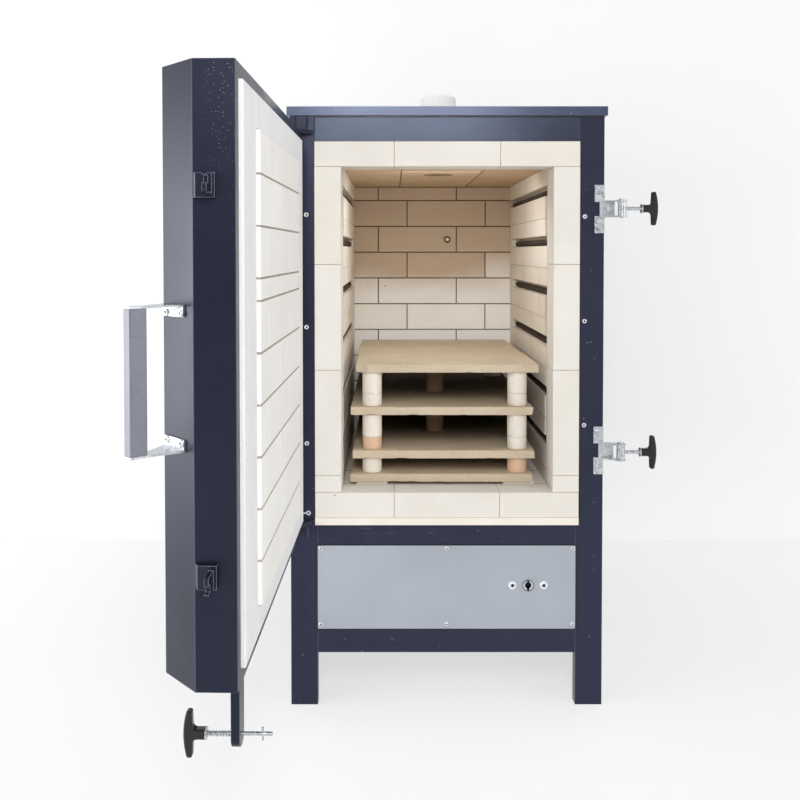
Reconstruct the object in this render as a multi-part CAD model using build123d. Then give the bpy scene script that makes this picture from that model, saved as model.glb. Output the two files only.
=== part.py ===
from build123d import *
from math import cos, hypot, pi, radians, sin, sqrt
import os

os.makedirs("parts", exist_ok=True)

# Front-loading electric pottery kiln, in millimetres, built with its door standing open.
# While it is built, X runs across the front, Y into the chamber from the brick face, Z up from the floor.

# Brickwork
BRICK_LONG = 230.0
BRICK_WIDE = 114.0
BRICK_THICK = 76.0
BRICK_GAP = 0.4
CHAMBER_HALF = 230.0
CHAMBER_DEEP = 604.0
JAMB_WIDE = 57.5
JAMB_DEEP = 76.0
JAMB_FIRST = 37.3
SILL_TALL = 55.7
OPENING_TALL = 709.2
LINTEL_TALL = 54.5
FIBRE_STRIP_TALL = 16.5
CEILING_STEP = 6.3
FRONT_JOINT_HALF = 115.0
ROOF_SLAB_HALF = 96.5
ROOF_THICK = 76.0
HEARTH_THICK = 76.0
BACK_FIRST_COURSE = 39.9
BACK_JOINT_ODD = -74.4
BACK_JOINT_EVEN = -159.2
LEAST_CLOSER = 12.0
SIDE_BOARD = 30.0
BACK_BOARD = 34.0
ROOF_BOARD = 24.0
HEARTH_BOARD = 25.0

# Steel body
SHEET = 1.5
FRAME_SHEET = 2.0
SEAT = 0.3
STEEL_SETBACK = 10.0
COLUMN_WIDE = 54.5
LEG_WIDE = 59.0
COLUMN_RETURN = 38.0
COLUMN_LIP = 26.0
LEG_TALL = 116.3
LOW_BEAM_TALL = 53.0
PANEL_TALL = 184.5
MID_BEAM_TALL = 47.5
HEADER_TALL = 55.7
BEAM_RETURN = 30.0
PANEL_LAND = 16.0
LID_TALL = 20.0
LID_OVERHANG = 6.0
LID_LIP = 40.0
TERMINAL_SPACE = 70.0
REAR_POST = 40.0
BEARER_WIDE = 40.0
BEARER_TALL = 30.0
BEARER_COUNT = 3

# Back cover louvres
LOUVRE_ROWS = 9
LOUVRE_PITCH = 26.0
LOUVRE_LONG = 150.0
LOUVRE_WIDE = 6.0
LOUVRE_X = 160.0
LOUVRE_TOP_Z = 1180.0

# Heating elements
ELEMENTS_PER_SIDE = 3
GROOVE_TALL = 23.0
GROOVE_DEEP = 22.0
GROOVE_RISE = 5.0
GROOVE_END_SETBACK = 63.0
COIL_RADIUS = 8.0
LINK_RADIUS = 7.0
TAIL_RADIUS = 3.5
TAIL_HOLE_RADIUS = 5.0
BUSH_RADIUS = 8.0
BUSH_OUT = 12.0
CLAMP_RADIUS = 6.0
CLAMP_LONG = 18.0
TAIL_OUT = 40.0
SHEATH_RADIUS = 4.5
SHEATH_GAP = 1.5
SHEATH_IN = 16.0
SHEATH_X = 43.7
SHEATH_DROP = 154.4
HEAD_RADIUS = 14.0
HEAD_LONG = 30.0

# Roof vent
VENT_X = -4.6
VENT_Y = 283.0
VENT_RADIUS = 36.0
BUNG_GAP = 0.5
BUNG_HEAD_RADIUS = 43.5
BUNG_HEAD_TALL = 37.0
BUNG_BEVEL = 5.0
COLLAR_TALL = 32.0
COLLAR_WALL = 15.0

# Door
HINGE_OUT = 9.0
HINGE_Y = -48.0
DOOR_OPEN = 91.18
DOOR_NEAR = 9.0
DOOR_OVER = 1.0
DOOR_BELOW_OPENING = 61.3
DOOR_ABOVE_OPENING = 68.8
DOOR_RIM = 40.0
DOOR_EDGE = 57.0
DOOR_CHAMFER = 54.5
DOOR_SKIN = 1.5
RIM_LIP = 22.0
RIM_PROUD = 6.5
PLUG_GAP = 6.0
PLUG_PROUD = 12.3
PLUG_FIRST_COURSE = 65.0
PLUG_THIN_COURSE = 33.0
PLUG_JOINT_ODD = 503.0
PLUG_JOINT_EVEN = 388.0

# Hinges
PIN_RADIUS = 6.0
PIN_SHOULDER = 3.0
PIN_HEAD = 4.0
PIN_IN = 62.0
KNUCKLE_WALL = 2.65
KNUCKLE_TALL = 70.0
STRAP_THICK = 2.5
STRAP_HALF = 20.0
RUN_GAP = 0.05
HINGE_RUN = 1.5
LUG_THICK = 8.0
LUG_BASE = 6.0
LUG_BASE_TALL = 30.0
LUG_WIDE = 52.0
LUG_NOSE = 12.0
GUSSET_THICK = 5.0
GUSSETS = [(0.25, 30.0), (0.75, 22.5)]

# Swing-bolt latches
LATCH_HIGH_Z = 1091.0
LATCH_LOW_Z = 564.0
LATCH_PIVOT_OUT = 34.0
LATCH_PIVOT_Y = -8.0
LATCH_EYE_RADIUS = 9.0
LATCH_EYE_TALL = 30.0
LATCH_PIN_RADIUS = 4.0
LATCH_PIN_HEAD = 3.0
LATCH_PIN_TAIL = 2.0
EAR_THICK = 3.0
WEB_GAP = 3.0
EAR_NOSE = 11.0
EAR_ROOT = 6.0
FLANGE_TALL = 34.0
FLANGE_WIDE = 21.4
FLANGE_BOLT = 20.4
BOLT_RADIUS = 4.0
BOLT_LONG = 61.0
WASHER_THICK = 2.0
WASHER_RADIUS = 10.0
NUT_TRAVEL = 5.0
TEE_LONG = 33.0
TEE_HALF = 36.0
TEE_THICK = 14.0
TEE_NECK = 8.0
TEE_BORE = 26.0
TEE_BOW = 5.0
TEE_TIP = 3.4
TEE_WEB = 7.0
TEE_BEVEL = 2.2

# Latch keepers on the door's free edge
KEEPER_Q = 7.3
KEEPER_TINE = 6.0
KEEPER_BASE = 10.0
KEEPER_OUT = 38.0
KEEPER_BASE_PAST = 10.5
KEEPER_BASE_INNER = 22.0
KEEPER_TINE_PAST = 8.5
KEEPER_TINE_INNER = 16.0
KEEPER_BASE_LOW_Q = -16.3
KEEPER_BASE_HIGH_Q = 14.6
KEEPER_NOTCH = 10.0
KEEPER_ROUND = 3.0
NOTCH_GAP = 0.6

# Door handle, standing square to the chamfered edge
HANDLE_LOW_Z = 730.0
HANDLE_TALL = 198.0
HANDLE_GAP = 50.0
GRIP_DEEP = 25.0
GRIP_THICK = 18.0
ARM_THICK = 3.0
ARM_FLANGE_TALL = 17.0
ARM_FLANGE_LOW = -18.0
ARM_FLANGE_HIGH = 34.0
ARM_SCREWS = [-13.0, 24.0]
ARM_SCREW_RISE = 12.0
GRIP_ROUND = 2.5

# Interlock key under the door
KEY_S = 530.0
KEY_Z = 266.0
POST_WIDE = 36.0
POST_THICK = 13.8
POST_FRONT_Q = -0.6
KEY_ROD_RADIUS = 3.0
KEY_ROD_END_Q = 60.0
KEY_PIN_Q = 45.0
KEY_PIN_RADIUS = 1.5
KEY_PIN_HALF = 10.0
KEY_TRAVEL = 15.5
SPRING_ROOM = 39.6
SPRING_CURLS = 8
SPRING_WIRE = 1.2
SPRING_SIDES = 8
SPRING_RADIUS = 4.1

# Service panel and switch
KEYHOLE_RADIUS = 7.0
KEYHOLE_RIM = 4.0
KEYHOLE_SLOT = 4.4
KEYHOLE_ROOM = 1.7
PANEL_GAP = 0.3
BUTTON_SPAN = 34.4
BUTTON_RADIUS = 8.9
SWITCH_BACK = 18.0
SWITCH_LONG = 24.0
SWITCH_WIDE = 40.0
BRACKET_FOOT = 9.5
PLUNGER_RADIUS = 3.0
PLUNGER_TRAVEL = 3.0
PLUNGER_IN = 6.0

# Screws
SCREW_RADIUS = 5.0
SCREW_HEAD = 2.6
SCREW_BEVEL = 1.4
SCREW_INSET_LEFT = 36.0
SCREW_INSET_RIGHT = 42.0
SCREWS_LEFT = [1079.0, 834.0, 579.0]
SCREWS_RIGHT = [1075.0, 847.0, 619.0]
PANEL_SCREW_RADIUS = 4.5
PANEL_SCREW_RISE = 11.0
PANEL_SCREW_INSET = 6.5
HEX_ACROSS = 13.0
HEX_HEAD = 5.5

# Cable gland
GLAND_X = 250.0
GLAND_Z = 210.0
GLAND_BORE = 6.5
GLAND_WALL = 2.0
GLAND_RADIUS = 13.0
GLAND_OUT = 24.0
GLAND_IN = 10.0
GLAND_NUT = 8.0

# Kiln furniture
SHELF_LONG = 560.0
SHELF_WIDE = 411.0
SHELF_THICK = 19.0
SHELF_FRONT_Y = 60.0
SHELF_SPLIT = 226.0
SHELF_SHIFT = 5.0
SHELF_FEET = 6.5
SHELF_GAPS = [34.0, 79.0, 76.6]
SHELF_X = [-8.5, -3.5, -7.5, -0.5]
PROP_RADIUS = 22.0
PROP_X = 165.0
PROP_ROWS_Y = [90.0, 560.0]
PROP_MIDDLE_X = -12.0
PROP_MIDDLE_Y = 290.0
PROP_JOINT = 28.0
FOOT_HALF = 35.0
CHIP_LONG = 26.0
CHIP_WIDE = 15.0

# Levels from the floor up
z_panel = LEG_TALL + LOW_BEAM_TALL
z_mid_beam = z_panel + PANEL_TALL
z_strip = z_mid_beam + MID_BEAM_TALL
z_sill = z_strip + FIBRE_STRIP_TALL
z_floor = z_sill + SILL_TALL
z_lintel = z_floor + OPENING_TALL
z_header = z_lintel + LINTEL_TALL
z_lid = z_header + HEADER_TALL
z_lid_top = z_lid + LID_TALL
z_ceiling = z_lintel + CEILING_STEP
z_hearth = z_floor - HEARTH_THICK
z_roof = z_ceiling + ROOF_THICK

# Depths and widths
y_frame = STEEL_SETBACK
y_frame_in = y_frame + FRAME_SHEET
y_wall_end = JAMB_DEEP + CHAMBER_DEEP
y_brick_end = y_wall_end + BRICK_THICK
y_board_end = y_brick_end + BACK_BOARD
y_back_in = y_board_end + TERMINAL_SPACE
y_back = y_back_in + SHEET
face_half = CHAMBER_HALF + JAMB_WIDE
body_half = face_half + COLUMN_WIDE
side_in = body_half - SHEET
leg_in = body_half - LEG_WIDE
hinge_x = -body_half - HINGE_OUT
wall_half = CHAMBER_HALF + BRICK_THICK


def block(x0, x1, y0, y1, z0, z1):
    """A box between two corners."""
    return Pos((x0 + x1) / 2, (y0 + y1) / 2, (z0 + z1) / 2) * Box(x1 - x0, y1 - y0, z1 - z0)


def bar(radius, start, end):
    """A round bar from one point to another."""
    run = Vector(*end) - Vector(*start)
    plane = Plane(origin=start, z_dir=run)
    return plane * Cylinder(radius, run.length, align=(Align.CENTER, Align.CENTER, Align.MIN))


def tube(outer, inner, start, end):
    """A round tube from one point to another."""
    return bar(outer, start, end) - bar(inner, start, end)


def plate(points, z0, z1):
    """A flat plate with straight sides, drawn in plan and standing from z0 to z1."""
    return Pos(0, 0, z0) * extrude(make_face(Polyline(*points, close=True)), z1 - z0)


def across(points, x0, x1):
    """A profile of (y, z) points carried along X."""
    face = make_face(Polyline(*[(x0, y, z) for y, z in points], close=True))
    return extrude(face, x1 - x0, dir=(1, 0, 0))


def mirrored(solid):
    """The same piece on the other side of the kiln."""
    return mirror(solid, about=Plane.YZ)


def overlaps(a, b):
    """Whether two bounding boxes meet."""
    return all(
        low_a < high_b and low_b < high_a
        for low_a, high_a, low_b, high_b in (
            (a.min.X, a.max.X, b.min.X, b.max.X),
            (a.min.Y, a.max.Y, b.min.Y, b.max.Y),
            (a.min.Z, a.max.Z, b.min.Z, b.max.Z),
        )
    )


def carve(solids, tools):
    """Cut each solid with the tools that reach it."""
    boxes = [(tool, tool.bounding_box()) for tool in tools]
    carved = []
    for solid in solids:
        box = solid.bounding_box()
        for tool, reach in boxes:
            if overlaps(box, reach):
                solid = solid - tool
        carved.append(solid)
    return carved


def lengths(start, end, joint, step):
    """The stretches of one course of bricks, with joints at every step from one joint."""
    first = joint
    while first - step > start + LEAST_CLOSER:
        first -= step
    marks = [start]
    mark = first
    while mark < end - LEAST_CLOSER:
        if mark > start + LEAST_CLOSER:
            marks.append(mark)
        mark += step
    marks.append(end)
    return [(low + BRICK_GAP / 2, high - BRICK_GAP / 2) for low, high in zip(marks, marks[1:])]


def courses(top, bottom, tall, first):
    """Course heights from the top down, the first one cut to its own height."""
    marks = [top, top - first]
    while marks[-1] - tall > bottom + LEAST_CLOSER:
        marks.append(marks[-1] - tall)
    marks.append(bottom)
    return [(low + BRICK_GAP / 2, high - BRICK_GAP / 2) for high, low in zip(marks, marks[1:])]


nodes = {}


def keep(name, *solids):
    """File the solids of one sub-part under its name."""
    nodes[name] = list(solids)


# Element levels: each groove runs a little above the middle of its course
groove_levels = [
    z_ceiling - BRICK_WIDE * (course + 0.5) + GROOVE_RISE for course in range(2 * ELEMENTS_PER_SIDE)
]
coil_x = CHAMBER_HALF + GROOVE_DEEP / 2 + 1.0
y_groove_end = y_wall_end - GROOVE_END_SETBACK


def groove_end(index):
    """The top groove runs on to the corner; the others stop short of it."""
    return y_wall_end if index == 0 else y_groove_end


def side_tools():
    """Grooves, their front links and the tail holes of the right-hand wall."""
    tools = []
    for index, level in enumerate(groove_levels):
        low = level - GROOVE_TALL / 2
        high = level + GROOVE_TALL / 2
        inner = CHAMBER_HALF - 1
        outer = CHAMBER_HALF + GROOVE_DEEP
        tools.append(block(inner, outer, JAMB_DEEP, groove_end(index), low, high))
        tail = (coil_x, groove_end(index) - 1, coil_level(index))
        tools.append(bar(TAIL_HOLE_RADIUS, tail, (coil_x, y_brick_end + 1, coil_level(index))))
    for pair in range(ELEMENTS_PER_SIDE):
        low = groove_levels[2 * pair + 1]
        high = groove_levels[2 * pair]
        outer = CHAMBER_HALF + GROOVE_DEEP
        tools.append(block(CHAMBER_HALF - 1, outer, JAMB_DEEP, JAMB_DEEP + GROOVE_TALL, low, high))
    return tools


def coil_level(index):
    """Height of a coil's axis, lying on the floor of its groove."""
    return groove_levels[index] - GROOVE_TALL / 2 + SEAT + COIL_RADIUS


def side_wall():
    """Bricks of the right-hand wall, in courses of bricks on edge."""
    bricks = []
    for number, (low, high) in enumerate(courses(z_ceiling, z_floor, BRICK_WIDE, BRICK_WIDE)):
        joint = JAMB_DEEP + BRICK_LONG / 2 * (1 + number % 2)
        for near, far in lengths(JAMB_DEEP, y_wall_end, joint, BRICK_LONG):
            bricks.append(block(CHAMBER_HALF, wall_half - BRICK_GAP, near, far, low, high))
    return carve(bricks, side_tools())


right_wall = side_wall()
keep("wall_bricks_right", *right_wall)
keep("wall_bricks_left", *[mirrored(brick) for brick in right_wall])


def back_wall():
    """Bricks laid flat behind the chamber, drilled for the element tails and the sheath."""
    bricks = []
    for number, (low, high) in enumerate(courses(z_ceiling, z_floor, BRICK_THICK, BACK_FIRST_COURSE)):
        joint = BACK_JOINT_EVEN if number % 2 else BACK_JOINT_ODD
        for left, right in lengths(-wall_half, wall_half, joint, BRICK_LONG):
            bricks.append(block(left, right, y_wall_end + BRICK_GAP, y_brick_end, low, high))
    holes = []
    for index in range(len(groove_levels)):
        for side in (-1, 1):
            start = (side * coil_x, y_wall_end, coil_level(index))
            holes.append(bar(TAIL_HOLE_RADIUS, start, (side * coil_x, y_brick_end + 1, coil_level(index))))
    sheath_hole = SHEATH_RADIUS + SHEATH_GAP
    holes.append(bar(sheath_hole, (SHEATH_X, y_wall_end, sheath_z), (SHEATH_X, y_brick_end + 1, sheath_z)))
    return carve(bricks, holes)


sheath_z = z_ceiling - SHEATH_DROP
keep("back_bricks", *back_wall())


def front_frame_bricks():
    """Jambs, lintel and sill round the opening."""
    jambs = []
    jamb_back = JAMB_DEEP - BRICK_GAP
    marks = [z_floor, z_floor + JAMB_FIRST]
    while marks[-1] + BRICK_LONG < z_lintel - LEAST_CLOSER:
        marks.append(marks[-1] + BRICK_LONG)
    marks.append(z_lintel)
    for low, high in zip(marks, marks[1:]):
        brick = block(CHAMBER_HALF, face_half, 0, jamb_back, low + BRICK_GAP / 2, high - BRICK_GAP / 2)
        jambs += [brick, mirrored(brick)]
    keep("jamb_bricks", *jambs)
    joints = [-face_half, -FRONT_JOINT_HALF, FRONT_JOINT_HALF, face_half]
    for name, low, high in (("lintel_bricks", z_lintel, z_header), ("sill_bricks", z_sill, z_floor)):
        row = []
        for left, right in zip(joints, joints[1:]):
            ends = (left + BRICK_GAP / 2, right - BRICK_GAP / 2)
            row.append(block(*ends, 0, jamb_back, low + BRICK_GAP / 2, high - BRICK_GAP / 2))
        keep(name, *row)


front_frame_bricks()
keep("sill_fibre", block(-face_half, face_half, 0, JAMB_DEEP - BRICK_GAP, z_strip + SEAT, z_sill))

vent_hole = bar(VENT_RADIUS, (VENT_X, VENT_Y, z_ceiling - 1), (VENT_X, VENT_Y, z_lid_top + 1))


def roof():
    """Three roof slabs running front to back, the middle one holed for the vent."""
    marks = [-wall_half, -ROOF_SLAB_HALF, ROOF_SLAB_HALF, wall_half]
    slabs = []
    for left, right in zip(marks, marks[1:]):
        slabs.append(
            block(
                left + BRICK_GAP / 2, right - BRICK_GAP / 2, JAMB_DEEP, y_brick_end,
                z_ceiling + BRICK_GAP / 2, z_roof,
            )
        )
    return carve(slabs, [vent_hole])


keep("roof_bricks", *roof())


def hearth():
    """Hearth bricks under the chamber and its walls."""
    bricks = []
    for number in range(3):
        left = -wall_half + number * 2 * wall_half / 3
        right = left + 2 * wall_half / 3
        joint = JAMB_DEEP + BRICK_LONG * (1 if number % 2 else 0.5)
        for near, far in lengths(JAMB_DEEP, y_brick_end, joint, BRICK_LONG):
            sides = (left + BRICK_GAP / 2, right - BRICK_GAP / 2)
            bricks.append(block(*sides, near, far, z_hearth, z_floor - BRICK_GAP / 2))
    return bricks


keep("hearth_bricks", *hearth())


def boards():
    """Backing boards between the brickwork and the steel."""
    side = block(wall_half, wall_half + SIDE_BOARD, JAMB_DEEP, y_brick_end, z_hearth, z_roof)
    back = block(-wall_half, wall_half, y_brick_end + SEAT, y_board_end, z_hearth, z_roof)
    roof_board = block(-wall_half, wall_half, JAMB_DEEP, y_board_end, z_roof + SEAT, z_roof + ROOF_BOARD)
    z_board = z_hearth - HEARTH_BOARD
    hearth_board = block(-wall_half, wall_half, JAMB_DEEP, y_board_end, z_board, z_hearth - SEAT)
    holes = []
    for index in range(len(groove_levels)):
        for x in (-coil_x, coil_x):
            start = (x, y_brick_end, coil_level(index))
            holes.append(bar(BUSH_RADIUS + SEAT, start, (x, y_board_end + 1, coil_level(index))))
    sheath_hole = SHEATH_RADIUS + SHEATH_GAP
    holes.append(bar(sheath_hole, (SHEATH_X, y_brick_end, sheath_z), (SHEATH_X, y_board_end + 1, sheath_z)))
    return [side, mirrored(side)] + carve([back, roof_board], holes + [vent_hole]) + [hearth_board]


keep("backing_boards", *boards())


def element(pair):
    """One hairpin element of the right-hand wall: two coils, their link and two tails."""
    high = coil_level(2 * pair)
    low = coil_level(2 * pair + 1)
    y_link = JAMB_DEEP + GROOVE_TALL / 2
    shape = bar(LINK_RADIUS, (coil_x, y_link, low - LINK_RADIUS), (coil_x, y_link, high + LINK_RADIUS))
    for index, level in ((2 * pair, high), (2 * pair + 1, low)):
        y_end = groove_end(index) - COIL_RADIUS
        shape += bar(COIL_RADIUS, (coil_x, y_link, level), (coil_x, y_end, level))
        shape += bar(TAIL_RADIUS, (coil_x, y_end, level), (coil_x, y_board_end + TAIL_OUT, level))
    return shape


right_elements = [element(pair) for pair in range(ELEMENTS_PER_SIDE)]
keep("elements", *right_elements, *[mirrored(shape) for shape in right_elements])


def terminals():
    """Ceramic bushes in the back board, and the clamps that hold the element tails."""
    bushes = []
    clamps = []
    for index in range(len(groove_levels)):
        for x in (-coil_x, coil_x):
            level = coil_level(index)
            bush_end = y_board_end + BUSH_OUT
            start = (x, y_brick_end + SEAT, level)
            bushes.append(tube(BUSH_RADIUS, TAIL_RADIUS + SEAT, start, (x, bush_end, level)))
            clamp_end = bush_end + SEAT + CLAMP_LONG
            clamps.append(tube(CLAMP_RADIUS, TAIL_RADIUS, (x, bush_end + SEAT, level), (x, clamp_end, level)))
    keep("terminal_bushes", *bushes)
    keep("terminal_clamps", *clamps)


terminals()


def thermocouple():
    """Sheathed sensor through the back wall, with its head in the terminal space."""
    tip = (SHEATH_X, y_wall_end - SHEATH_IN, sheath_z)
    head = (SHEATH_X, y_board_end, sheath_z)
    shape = bar(SHEATH_RADIUS, tip, head)
    return shape + bar(HEAD_RADIUS, head, (SHEATH_X, y_board_end + HEAD_LONG, sheath_z))


keep("thermocouple", thermocouple())


def column():
    """Right-hand front column: a folded channel whose wider lower part is the leg."""
    parts = []
    for inner, low, high in ((leg_in, 0, z_strip), (face_half + SEAT, z_strip, z_lid - SEAT)):
        parts.append(block(inner, body_half, y_frame, y_frame_in, low, high))
        parts.append(block(inner, inner + FRAME_SHEET, y_frame, y_frame + COLUMN_LIP, low, high))
        parts.append(block(side_in - FRAME_SHEET, side_in, y_frame, y_frame + COLUMN_RETURN, low, high))
    shape = parts[0]
    for part in parts[1:]:
        shape += part
    return shape


right_column = column()
keep("front_columns", right_column, mirrored(right_column))


def beam(half, low, high):
    """A folded channel across the front, open to the back."""
    front = block(-half, half, y_frame, y_frame_in, low, high)
    foot = block(-half, half, y_frame, y_frame + BEAM_RETURN, low, low + FRAME_SHEET)
    top = block(-half, half, y_frame, y_frame + BEAM_RETURN, high - FRAME_SHEET, high)
    return front + foot + top


beam_half = leg_in - SEAT
low_beam = beam(beam_half, LEG_TALL, z_panel + PANEL_LAND)
mid_beam = beam(beam_half, z_mid_beam - PANEL_LAND, z_strip)
keep("front_beams", low_beam, mid_beam)
keep("header", beam(face_half, z_header + SEAT, z_lid - SEAT))

side_panel = block(side_in, body_half, y_frame_in + SEAT, y_back, 0, z_lid - SEAT)
keep("side_panels", side_panel, mirrored(side_panel))


def rear_posts():
    """Angle posts in the two rear corners."""
    outer = side_in
    post = block(outer - REAR_POST, outer, y_back_in - FRAME_SHEET, y_back_in, 0, z_lid - SEAT)
    post += block(outer - FRAME_SHEET, outer, y_back_in - REAR_POST, y_back_in, 0, z_lid - SEAT)
    return [post, mirrored(post)]


keep("rear_posts", *rear_posts())


def back_cover():
    """Rear cover with two banks of cooling slots, holed for the cable gland."""
    cover = block(-side_in, side_in, y_back_in, y_back, LEG_TALL, z_lid - SEAT)
    for row in range(LOUVRE_ROWS):
        level = LOUVRE_TOP_Z - row * LOUVRE_PITCH
        for x in (-LOUVRE_X, LOUVRE_X):
            outside = Plane(origin=(x, y_back + 1, level), x_dir=(1, 0, 0), z_dir=(0, 1, 0))
            cover -= extrude(outside * SlotOverall(LOUVRE_LONG, LOUVRE_WIDE), -SHEET - 2)
    hole = GLAND_BORE + GLAND_WALL + SEAT
    return cover - bar(hole, (GLAND_X, y_back_in - 1, GLAND_Z), (GLAND_X, y_back + 1, GLAND_Z))


keep("back_cover", back_cover())


def gland():
    """Cable gland: a flanged sleeve through the back cover."""
    inner = y_back_in - GLAND_IN
    outer = y_back + GLAND_OUT
    sleeve = bar(GLAND_BORE + GLAND_WALL, (GLAND_X, inner, GLAND_Z), (GLAND_X, outer, GLAND_Z))
    body = bar(GLAND_RADIUS, (GLAND_X, y_back, GLAND_Z), (GLAND_X, outer, GLAND_Z))
    nut = bar(GLAND_RADIUS, (GLAND_X, y_back_in - GLAND_NUT, GLAND_Z), (GLAND_X, y_back_in - SEAT, GLAND_Z))
    bore = bar(GLAND_BORE, (GLAND_X, inner - 1, GLAND_Z), (GLAND_X, outer + 1, GLAND_Z))
    return sleeve + body + nut - bore


keep("cable_gland", gland())


def lid():
    """Folded lid: a shallow pan upside down, with lips that rest on the body."""
    half = body_half + LID_OVERHANG
    front = y_frame - LID_OVERHANG
    back = y_back + LID_OVERHANG
    pan = block(-half, half, front, back, z_lid, z_lid_top)
    inside = block(
        -half + SHEET, half - SHEET, front + SHEET, back - SHEET, z_lid + SHEET, z_lid_top - SHEET
    )
    gap = half - LID_LIP
    mouth = block(-gap, gap, front + LID_LIP, back - LID_LIP, z_lid - 1, z_lid + 2 * SHEET)
    return pan - inside - mouth - vent_hole


keep("lid", lid())


def hearth_tray():
    """Steel tray and channel bearers that carry the brickwork."""
    top = z_hearth - HEARTH_BOARD - SEAT
    front = y_frame + COLUMN_RETURN + SEAT
    tray = block(-side_in, side_in, front, y_back_in - REAR_POST - SEAT, top - FRAME_SHEET, top)
    bearers = []
    for number in range(BEARER_COUNT):
        y = front + (number + 0.5) * (y_board_end - front) / BEARER_COUNT
        low = top - FRAME_SHEET - SEAT - BEARER_TALL
        bearer = block(-side_in, side_in, y - BEARER_WIDE / 2, y + BEARER_WIDE / 2, low, low + BEARER_TALL)
        hollow = block(
            -side_in - 1, side_in + 1, y - BEARER_WIDE / 2 + FRAME_SHEET, y + BEARER_WIDE / 2 - FRAME_SHEET,
            low - 1, low + BEARER_TALL - FRAME_SHEET,
        )
        bearers.append(bearer - hollow)
    return [tray] + bearers


base_pan = block(
    -side_in, side_in, y_frame + COLUMN_RETURN + SEAT, y_back_in - REAR_POST - SEAT,
    LEG_TALL, LEG_TALL + FRAME_SHEET,
)
keep("trays_and_bearers", base_pan, *hearth_tray())

# Where the closed door carries the interlock key
key_x = hinge_x + KEY_S
y_panel = y_frame - PANEL_GAP / 2 - SHEET


def keyhole(y0, y1):
    """Round hole with slots above and below for the key's cross pin."""
    hole = bar(KEYHOLE_RADIUS, (key_x, y0, KEY_Z), (key_x, y1, KEY_Z))
    slot_half = KEY_PIN_HALF + KEYHOLE_ROOM
    half = KEYHOLE_SLOT / 2
    slot = block(key_x - half, key_x + half, y0, y1, KEY_Z - slot_half, KEY_Z + slot_half)
    return hole + slot


def service_panel():
    """Flat panel over the control compartment."""
    half = leg_in - PANEL_GAP
    panel = block(-half, half, y_panel, y_panel + SHEET, z_panel + PANEL_GAP, z_mid_beam - PANEL_GAP)
    return panel - keyhole(y_panel - 1, y_panel + SHEET + 1)


keep("service_panel", service_panel())
rim_radius = KEY_PIN_HALF + KEYHOLE_ROOM + KEYHOLE_RIM
keep(
    "keyhole_plate",
    bar(rim_radius, (key_x, y_panel - SHEET, KEY_Z), (key_x, y_panel, KEY_Z))
    - keyhole(y_panel - SHEET - 1, y_panel + 1),
)


def dome(radius, head, x, y, z):
    """Low round screw head facing the front, its seat at y."""
    shape = bar(radius, (x, y - head, z), (x, y, z))
    rim = shape.faces().sort_by(Axis.Y)[0].edges()
    return chamfer(rim, SCREW_BEVEL)


def hex_head(x, y, z):
    """Hexagon bolt head with its washer, facing the front, its seat at y."""
    hexagon = RegularPolygon(HEX_ACROSS / 2, 6, major_radius=False)
    head = extrude(Plane(origin=(x, y, z), z_dir=(0, -1, 0)) * hexagon, HEX_HEAD)
    return head + bar(HEX_ACROSS * 0.62, (x, y - 1.2, z), (x, y, z))


def front_screws():
    """Screws of the columns and the service panel."""
    heads = []
    left = -body_half + SCREW_INSET_LEFT
    right = body_half - SCREW_INSET_RIGHT
    for x, levels in ((left, SCREWS_LEFT), (right, SCREWS_RIGHT)):
        for level in levels:
            heads.append(dome(SCREW_RADIUS, SCREW_HEAD, x, y_frame, level))
    edge = leg_in - PANEL_SCREW_INSET
    for z in (z_panel + PANEL_SCREW_RISE, z_mid_beam - PANEL_SCREW_INSET):
        for x in (-edge, 0.0, edge):
            heads.append(dome(PANEL_SCREW_RADIUS, SCREW_HEAD, x, y_panel, z))
    return heads


def switch():
    """Interlock switch on its bracket behind the panel, its plunger, and the bracket's two screws."""
    y_foot = y_panel + SHEET
    y_plate = y_foot + SWITCH_BACK
    y_mount = y_plate + FRAME_SHEET
    foot = BRACKET_FOOT
    low = KEY_Z - foot
    high = KEY_Z + foot
    inner = BUTTON_SPAN - foot
    bracket = block(key_x - inner, key_x + inner, y_plate, y_mount, low, high)
    for side in (-1, 1):
        near = key_x + side * inner
        far = key_x + side * (BUTTON_SPAN + foot)
        fold = near - side * FRAME_SHEET
        bracket += block(min(near, far), max(near, far), y_foot, y_foot + FRAME_SHEET, low, high)
        bracket += block(min(near, fold), max(near, fold), y_foot, y_mount, low, high)
    hole = bar(PLUNGER_RADIUS + SEAT, (key_x, y_plate - 1, KEY_Z), (key_x, y_mount + 1, KEY_Z))
    half = SWITCH_WIDE / 2
    body = block(key_x - half, key_x + half, y_mount, y_mount + SWITCH_LONG, low, high)
    y_well = y_mount + PLUNGER_IN + PLUNGER_TRAVEL
    body -= bar(PLUNGER_RADIUS + RUN_GAP, (key_x, y_mount - 1, KEY_Z), (key_x, y_well + SEAT, KEY_Z))
    y_tip = HINGE_Y + KEY_ROD_END_Q + KEY_TRAVEL + SEAT
    plunger = bar(PLUNGER_RADIUS, (key_x, y_tip, KEY_Z), (key_x, y_mount + PLUNGER_IN, KEY_Z))
    buttons = []
    for side in (-1, 1):
        buttons.append(dome(BUTTON_RADIUS, SCREW_HEAD, key_x + side * BUTTON_SPAN, y_panel, KEY_Z))
    return [bracket - hole, body], plunger, buttons


switch_body, switch_plunger, switch_screws = switch()
keep("interlock_switch", *switch_body)
keep("switch_plunger", switch_plunger)
keep("front_screws", *front_screws(), *switch_screws)

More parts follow.
